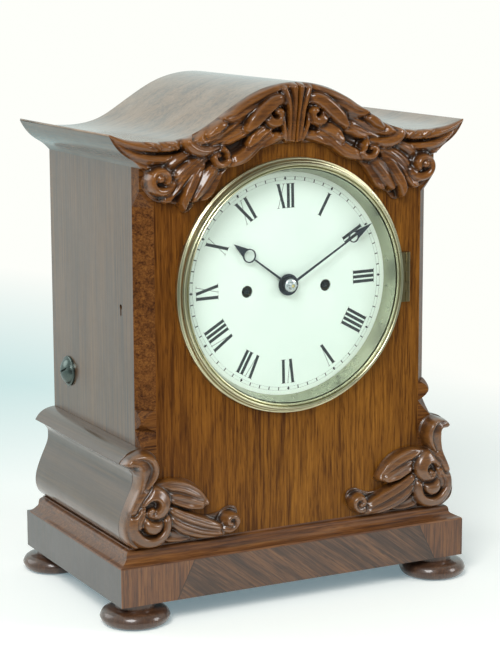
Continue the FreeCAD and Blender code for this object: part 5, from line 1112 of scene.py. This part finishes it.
def crestCarving():
    # The outline is the curve below, the end, the cove and the roof's top
    lower, end = (smoothLine(aboveCase(crest[key]), count)
                  for key, count in crest["points"].items())
    top = roofTop[roofTop[:, 0] >= 0]
    loop = joined([lower, end, coveLine[::-1], [coveLine[0], top[-1]], top[::-1],
                   [top[0], lower[0]]])
    under = roofUnder[roofUnder[:, 0] >= 0]

    def backAt(x, z):
        # The roof and the cornice stand before the case
        line = np.interp(x, under[:, 0], under[:, 1])
        behind = np.where(x > roof["inner"], caseTop, line)
        return np.where(z > behind, roofFront, caseFront)

    verts, faces, tone = carvedRelief(loop, (0, caseTop), backAt, crest)
    verts[:, 0] = np.maximum(verts[:, 0], 0.05 * mm)
    carvedPair("crest_carving_{}_leafwork", "crest_carving_{}", (verts, faces, tone),
               woods["carved_wood"])


crestCarving()
print("crest carved")

bracket = {  # heights are above the moulding, for the right bracket
    "cell": 0.5 * mm, "ground": 2.6 * mm, "slab": 2.4 * mm, "floor": 0.8 * mm, "round": 2.4 * mm,
    "most": 19.0 * mm, "points": 34,
    "outer": [(163.6, 0.3), (171, 7), (173.8, 19), (171, 33), (164.4, 48), (160, 59),
              (159.7, 67)],
    "beak": [(159.7, 67), (163, 72), (172.4, 78)],
    "top": [(172.4, 78), (168, 83.5), (160, 87.5), (150, 89.5), (142, 85), (138.5, 77),
            (141, 67), (145, 59)],
    "lobe": [(145, 59), (132, 60.5), (116, 60), (104, 55), (94, 45), (88, 35)],
    "inner": [(88, 35), (95, 30), (106, 29), (98, 24), (86, 22), (76, 24), (66, 28), (59, 25),
              (58, 17), (62, 8), (70, 2.5), (80, 0.3)],
    "shapes": [
        {"line": [(141, 12, 5), (129, 8.5, 6.5), (117, 5.5, 5), (108, 4.5, 3)],
         "rise": [5, 6.5, 6, 5], "flutes": 1, "depth": 1.6},
        # upper leaf, with a hollow lobe inside it
        {"line": [(160, 54, 4), (146, 56, 6.5), (130, 54, 8), (114, 49, 8.5), (101, 41.5, 7.5),
                  (93, 35.5, 4.5)], "rise": [7, 8.5, 9.5, 10, 10.5, 9.5], "flutes": 2,
         "depth": 2.6},
        {"line": [(134, 46, 4), (122, 42, 6), (110, 37.5, 6.5), (99, 34.5, 5)],
         "rise": [8, 10.5, 12, 12], "flutes": 1, "depth": 3.4, "fold": True, "roll": 4},
        # the long leaf down to its hook
        {"line": [(140, 37, 5), (128, 28, 8.5), (114, 19.5, 10.5), (100, 13.5, 10.5),
                  (87, 9.5, 8.5), (76, 7.5, 6)], "rise": [8, 11, 12, 12, 12, 11],
         "flutes": 3, "depth": 3.6, "fold": True},
        {"at": (68.5, 15, 9), "rise": 9.5},
        {"spiral": (68.5, 15.0, 8.6, 2.0), "turn": (-55, -390, 4.2, 3.0),
         "rise": [9, 11.5, 13, 13.5], "depth": 0.4, "spoon": 1.0, "groove": 1.4},
        # the outer band, the great scroll round its ball, and the curl over it
        {"line": [(160, 3, 5), (168, 10, 6), (170, 24, 6.5), (167, 40, 6.5), (161, 54, 6)],
         "rise": [7, 9, 10, 10, 10.5], "depth": 0.8},
        {"at": (148, 22, 16), "rise": 8},
        {"spiral": (148, 22, 19.5, 12), "turn": (70, -430, 6.6, 4.4), "tilt": -2.4,
         "rise": [11, 12, 12.5, 12, 11.5], "depth": 0.4, "spoon": 1.0},
        {"at": (147.5, 22.5, 9.6), "rise": 16, "groove": 2.8},
        {"at": (145.5, 38, 8), "rise": 7},
        {"spiral": (145.5, 38.5, 14.2, 7), "turn": (35, 255, 8.0, 5.6),
         "rise": [10.5, 12.5, 14, 13.5], "depth": 0.4, "tilt": 3.2, "roll": 4.5, "spoon": 1.0,
         "groove": 1.8},
        {"at": (147, 35, 3.2), "rise": 11},
        # the neck, up to its rolled beak
        {"line": [(166, 37, 5.5), (161.5, 48, 6.5), (154.5, 58, 7.8), (151, 67, 9),
                  (151.5, 76, 9.6), (158, 81, 7), (168, 79, 3.5)],
         "rise": [10.5, 12, 11.5, 11, 11.5, 11, 8], "depth": 2.0, "roll": 5, "groove": 0.4},
        {"line": [(152, 56, 2.2), (146.5, 64, 3.4), (144, 73, 3.8), (147.5, 82, 3.8),
                  (155, 85.5, 3), (163, 84.5, 2)], "rise": [11, 13, 14.5, 15, 13, 9],
         "depth": 0.5, "groove": 0.8},
    ],
}


def cornerBrackets():
    # The outline is five curves and the moulding's top
    runs = [smoothLine(np.asarray(bracket[key]) * mm, bracket["points"]) + (0, mouldingTop)
            for key in ("outer", "beak", "top", "lobe", "inner")]
    loop = joined(runs + [[runs[-1][-1], runs[0][0]]])
    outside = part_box("side_panel_right")[1][0]

    def backAt(x, z):
        # Past the case the bracket lies on the skirt
        return np.where(x > outside, skirt["front"], caseFront)

    verts, faces, tone = carvedRelief(loop, (0, mouldingTop), backAt, bracket)
    verts[:, 2] = np.maximum(verts[:, 2], mouldingTop)
    carvedPair("bracket_{}_leafwork", "corner_carving_{}", (verts, faces, tone),
               woods["bracket_wood"])


cornerBrackets()
print("brackets carved")

bezel = {
    "outer": 118, "inner": 108.5, "height": 11, "glass": 110.0, "setback": 3.2, "pane": 2,
    "steps": 256, "sharp": 32,
    "mouldings": [  # radius and height of each run, from the rim inwards
        ([(118, 3.0), (117.8, 3.8), (117.2, 4.3), (116.6, 4.4)], 6),
        ([(116.6, 4.4), (115.8, 5.2), (115.2, 6.8), (114.9, 8.7)], 10),
        ([(114.9, 8.7), (114.3, 8.9)], 2),
        ([(114.3, 8.9), (114.1, 8.0)], 2),
        ([(114.1, 8.0), (113.7, 9.9), (112.4, 11.0), (111.1, 10.0), (110.7, 8.2)], 14),
        ([(110.7, 8.2), (110.3, 9.5), (109.5, 10.1), (108.8, 9.4), (108.5, 7.8)], 10),
    ],
}


def bezelRing():
    # The mouldings' curves and the groove for the glass as one profile, turned about the dial's
    # axis
    runs = [smoothLine(np.asarray(run) * mm, count) * (1, -1) + (0, caseFront)
            for run, count in bezel["mouldings"]]
    seat = caseFront - (bezel["height"] - bezel["setback"]) * mm
    pane = bezel["pane"] * mm
    inner, outer, groove = bezel["inner"] * mm, bezel["outer"] * mm, bezel["glass"] * mm
    profile = np.concatenate([
        [(outer, caseFront)], joined(runs),
        [(inner, seat), (groove, seat), (groove, seat + pane), (inner, seat + pane),
         (inner, caseFront), (outer, caseFront)],
    ])
    verts, faces = revolved(profile, (0, 0, dialZ), "Y", bezel["steps"])
    piece = makePiece("bezel_roll", verts, faces, metals["bezel_brass"], "bezel", "bezel_brass",
                      bezel["sharp"])
    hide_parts("bezel_ring")


bezelRing()

collet = {
    "profile": [(1.7, 0), (6.3, 0), (6.3, 0.7), (6.0, 1.3), (5.0, 1.9), (3.7, 2.2), (3.4, 2.6),
                (3.4, 4.7), (3.0, 5.2), (2.3, 5.4), (1.7, 5.4), (1.7, 0)],
    "pin": [(0, 2.0), (0.55, 2.0), (0.5, 5.2), (0.3, 5.4), (0, 5.4)], "pinAt": 3.9,
    "steps": 64, "pinSteps": 20, "sharp": 35,
}


def handCollet():
    # A washer under a domed nut, turned about the dial's axis, with the two ends of its cross pin
    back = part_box("hand_collet")[1][1]
    parts = [revolved(np.asarray(collet["profile"]) * mm * (1, -1), (0, back, dialZ), "Y",
                      collet["steps"])]
    verts, faces = revolved(np.asarray(collet["pin"]) * mm, (0, 0, 0), "Z", collet["pinSteps"])
    for side in (-1, 1):
        across = verts[:, [2, 1, 0]] * (side, 1, 1) + (0, back - collet["pinAt"] * mm, dialZ)
        parts.append((across, faces))
    piece = makePiece("hand_nut", *joinMeshes(parts), metals["bright_steel"], "minute_hand",
                      "steel", collet["sharp"])
    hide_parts("hand_collet")


handCollet()

screw = {
    "dome": [(0, 8.0), (3.5, 7.85), (7, 6.9), (10, 5.2), (12, 3.2), (12.6, 2.3)], "rings": 54,
    "rim": [(13.6, 2.2), (14.3, 1.8), (14.5, 1.2), (14.5, 0), (4.0, 0), (4.0, -8), (0, -8)],
    "slotHalf": 1.0, "slotDepth": 2.4, "slotTurn": -24, "slotSlope": 0.25,
    "bar": (-2, 6, 6), "barStart": 8, "steps": 180, "sharp": 40,
}


def gongScrew():
    # The head is a dome turned about X. Where a point lies within the slot's half width it is
    # lowered to the slot's bottom, with a short slope at each side
    low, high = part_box("gong_stand")
    y, z = (low[1] + high[1]) / 2, (low[2] + high[2]) / 2
    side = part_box("side_panel_left")[0][0]
    dome = smoothLine(screw["dome"], screw["rings"])
    profile = np.concatenate([dome, screw["rim"]]) * mm
    verts, faces = revolved(profile, (0, 0, 0), "Z", screw["steps"])
    v, w, out = verts.T
    a = math.radians(screw["slotTurn"])
    across = np.abs(w * math.cos(a) - v * math.sin(a))
    ease = (screw["slotHalf"] * mm - across) / (screw["slotSlope"] * mm) + 0.5
    bottom = (screw["dome"][0][1] - screw["slotDepth"]) * mm
    out = out + (np.minimum(out, bottom) - out) * np.clip(ease, 0, 1)
    head = np.stack([side - out, y + v, z + w], 1)
    near, far, half = (value * mm for value in screw["bar"])
    corners = [(y + near, z - half), (y + far, z - half), (y + far, z + half), (y + near, z + half)]
    bar = prism(corners, side + screw["barStart"] * mm, high[0], "X")
    piece = makePiece("gong_screw", *joinMeshes([(head, faces), bar]), metals["screw_bronze"],
                      "case", "bezel_brass", screw["sharp"])
    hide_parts("gong_stand")


gongScrew()
print("fittings made")

printing = {
    "front": 0.10 * mm, "inner": 70.5, "outer": 93.0, "thick": 2.9, "thin": 0.40,
    "serif": 0.32, "serifReach": 0.9, "trackInner": 96.4, "trackOuter": 99.4, "line": 0.12,
    "tick": 0.95, "turn": -1.0, "steps": 360, "sharp": 30,
    "star": [(0, -1.9), (0.798, -0.57), (1.52, 0), (0.798, 0.57), (0, 1.9), (-0.798, 0.57),
             (-1.52, 0), (-0.798, -0.57)],
    "widths": {"I": 4.5, "V": 9.8, "X": 10.6},
    "numerals": ["XII", "I", "II", "III", "IIII", "V", "VI", "VII", "VIII", "IX", "X", "XI"],
}


def strokeBox(x0, x1, y0, y1, lean=0.0):
    # Four corners of an upright bar whose top is moved sideways by lean
    return [(x0, y0), (x1, y0), (x1 + lean, y1), (x0 + lean, y1)]


def letterShapes(letter):
    # Strokes between the inner and the outer circle, with a serif at each free end: I is one thick
    # stroke, V leans out from its foot, and X crosses from side to side
    low, high = printing["inner"], printing["outer"]
    thick, thin, reach = printing["thick"], printing["thin"], printing["serifReach"]
    top, bottom = (high - printing["serif"], high), (low, low + printing["serif"])
    lean = printing["widths"][letter] / 2 - reach - thick / 2

    def serif(x, half, ends):
        return strokeBox(x - half - reach, x + half + reach, *ends)

    if letter == "I":
        return [strokeBox(-thick / 2, thick / 2, low, high),
                serif(0, thick / 2, bottom), serif(0, thick / 2, top)]
    if letter == "V":
        return [
            strokeBox(-thick * 0.62, thick * 0.38, low, high, -lean + thick * 0.1),
            strokeBox(-thin * 0.1, thin * 0.9, low, high, lean),
            serif(-lean, thick / 2, top), serif(lean + thin / 2, thin / 2, top),
        ]
    return [
        strokeBox(lean - thick / 2, lean + thick / 2, low, high, -2 * lean),
        strokeBox(-lean - thin / 2, -lean + thin / 2, low, high, 2 * lean),
        serif(-lean, thick / 2, top), serif(lean, thin, top),
        serif(-lean, thin, bottom), serif(lean, thick / 2, bottom),
    ]


def printedShape(outline, angle):
    # A flat outline in millimetres, with its foot to the middle of the dial, turned clockwise
    angle += math.radians(printing["turn"])
    c, s = math.cos(angle), math.sin(angle)
    loop = np.asarray(outline, float) * mm @ [[c, -s], [s, c]] + (0, dialZ)
    return prism(loop, dialFace - printing["front"], dialFace)


def printedRing(radius):
    # The section of the line, turned about the dial's axis
    inner, outer = ((radius + side * printing["line"] / 2) * mm for side in (-1, 1))
    front = -printing["front"]
    section = [(inner, 0), (outer, 0), (outer, front), (inner, front), (inner, 0)]
    return revolved(section, (0, dialFace, dialZ), "Y", printing["steps"])


def dialPrinting():
    # The letters of a numeral stand side by side about the hour's radius. A star marks every fifth
    # minute, and a bar the others
    numerals = []
    for hour, text in enumerate(printing["numerals"]):
        widths = [printing["widths"][letter] for letter in text]
        place = -sum(widths) / 2
        for letter, wide in zip(text, widths):
            for outline in letterShapes(letter):
                moved = [(x + place + wide / 2, y) for x, y in outline]
                numerals.append(printedShape(moved, math.radians(hour * 30)))
            place += wide
    makePiece("hour_numerals", *joinMeshes(numerals), wax, "case", "blued_steel",
              printing["sharp"])
    inner, outer, half = printing["trackInner"], printing["trackOuter"], printing["tick"] / 2
    star = [(x, (inner + outer) / 2 + y) for x, y in printing["star"]]
    bar = strokeBox(-half, half, inner, outer)
    track = [printedRing(radius) for radius in (inner, outer)]
    for minute in range(60):
        track.append(printedShape(bar if minute % 5 else star, math.radians(minute * 6)))
    makePiece("minute_track", *joinMeshes(track), wax, "case", "blued_steel", printing["sharp"])


dialPrinting()
print("dial printed")

stage = {
    "size": 14.0, "paper": (0.94, 0.92, 0.86, 1), "white": (0.99, 1.0, 0.955, 1),
    "bounce": (0.66, 0.95, 1.08, 1), "near": 0.225, "start": 0.30, "end": 0.95, "ambient": 0.42,
    # a cool painted shade behind the object: its colour, centre and stretch, and the fall of its
    # edge
    "shade": (0.62, 0.80, 0.79, 1), "patch": ((0, 0.8, 0), (1.7, 0.75, 0)),
    "patchEdge": (1.25, 0.25),
    # what gloss mirrors: its colour, and its strength in front of the object and behind it
    "mirrored": (0.86, 1.0, 0.985, 1), "room": 0.17, "lit": 0.82, "turnsPale": (-0.55, 0.15),
}
lamps = {
    "key": {"at": (-1.5, -1.7, 2.0), "size": 1.35, "power": 56},
    "fill": {"at": (1.9, -1.6, 1.1), "size": 0.9, "power": 16},
    "back": {"at": (-1.6, 1.5, 1.2), "size": 1.6, "power": 12},
}
lampAim = Vector((0, 0, 0.25))


def seenBy(h, where):
    # How strongly the pale surroundings shine: fully for the camera and through glass. Gloss
    # mirrors the pale backdrop behind the object, and a darker room before it, by how far a place
    # or a direction lies to the back. Then whether any of these rays sees them, and their colour
    path = h.add("ShaderNodeLightPath").outputs
    plain = h.math("MAXIMUM", path["Is Camera Ray"], path["Is Transmission Ray"])
    glossy = path["Is Glossy Ray"]
    ahead = h.add("ShaderNodeSeparateXYZ", Vector=where).outputs[1]
    pale = h.span(ahead, *stage["turnsPale"], stage["room"], stage["lit"])
    strength = h.math("MAXIMUM", plain, h.math("MULTIPLY", glossy, pale))
    seen = h.math("MAXIMUM", plain, glossy)
    return strength, seen, h.blendColours(glossy, stage["white"], stage["mirrored"])


def paperFloor():
    # Away from the object the floor fades to the white of the world, by the distance from it
    size = stage["size"]
    mesh = bpy.data.meshes.new("floor")
    mesh.from_pydata([(-size, -size, 0), (size, -size, 0), (size, size, 0), (-size, size, 0)], [],
                     [(0, 1, 2, 3)])
    floor = placed("floor", mesh)
    material, h, where, surface = startMaterial("floor_paper")
    strength, seen, white = seenBy(h, where)
    diffuse = h.add("ShaderNodeBsdfDiffuse", Color=stage["paper"])
    glow = h.add("ShaderNodeEmission", Color=stage["bounce"],
                 Strength=h.math("MULTIPLY", seen, stage["near"]))
    near = h.inOrder(h.add("ShaderNodeAddShader"), (diffuse.outputs[0], glow.outputs[0]))
    # A painted shade: in a soft patch behind the object the far floor takes the shade colour
    cool = h.span(h.distance(where, *stage["patch"]), *stage["patchEdge"])
    beyond = h.add("ShaderNodeEmission", Color=h.blendColours(cool, white, stage["shade"]),
                   Strength=strength)
    far = h.span(h.vector("LENGTH", where), stage["start"], stage["end"])
    h.put(surface, h.mixShaders(h.math("MULTIPLY", seen, far), near, beyond))
    mesh.materials.append(material)


def studioWorld():
    world = bpy.data.worlds.new("studio")
    bpy.context.scene.world = world
    world.use_nodes = True
    world.node_tree.nodes.clear()
    h = nodeHelp(world.node_tree)
    strength, seen, white = seenBy(h, h.add("ShaderNodeTexCoord").outputs["Generated"])
    unseen = h.math("MULTIPLY", h.math("SUBTRACT", 1.0, seen), stage["ambient"])
    back = h.add("ShaderNodeBackground", Color=white, Strength=h.math("ADD", strength, unseen))
    h.add("ShaderNodeOutputWorld", Surface=back.outputs[0])


def placeLamps():
    for name, lamp in lamps.items():
        data = bpy.data.lights.new(name, "AREA")
        data.shape = "DISK"
        data.size = lamp["size"]
        data.energy = lamp["power"]
        light = placed(name, data)
        light.location = lamp["at"]
        aim = lampAim - light.location
        light.rotation_euler = aim.to_track_quat("-Z", "Y").to_euler()


paperFloor()
studioWorld()
placeLamps()

view = {
    "at": (-0.8764, -1.7058, 0.5921), "yaw": 27.427, "pitch": 10.490, "roll": -0.182,
    "focalPixels": 2020.7, "sensor": 36.0, "longSide": 667, "farEnd": 60,
}


def placeCamera():
    # It looks along its yaw, clockwise from Y, and its pitch, downwards, and rolls about that line
    data = bpy.data.cameras.new("camera")
    data.sensor_width = view["sensor"]
    data.lens = view["focalPixels"] * view["sensor"] / view["longSide"]
    data.clip_end = view["farEnd"]
    yaw, pitch, roll = (math.radians(view[key]) for key in ("yaw", "pitch", "roll"))
    level = math.cos(pitch)
    forward = Vector((math.sin(yaw) * level, math.cos(yaw) * level, -math.sin(pitch)))
    right = Vector((math.cos(yaw), -math.sin(yaw), 0))
    up = right.cross(forward)
    turned = Matrix((right, up, -forward)).transposed() @ Matrix.Rotation(roll, 3, "Z")
    camera = placed("camera", data)
    camera.matrix_world = Matrix.Translation(view["at"]) @ turned.to_4x4()
    bpy.context.scene.camera = camera


placeCamera()
bpy.context.scene.view_settings.view_transform = "Standard"
print("stage set")
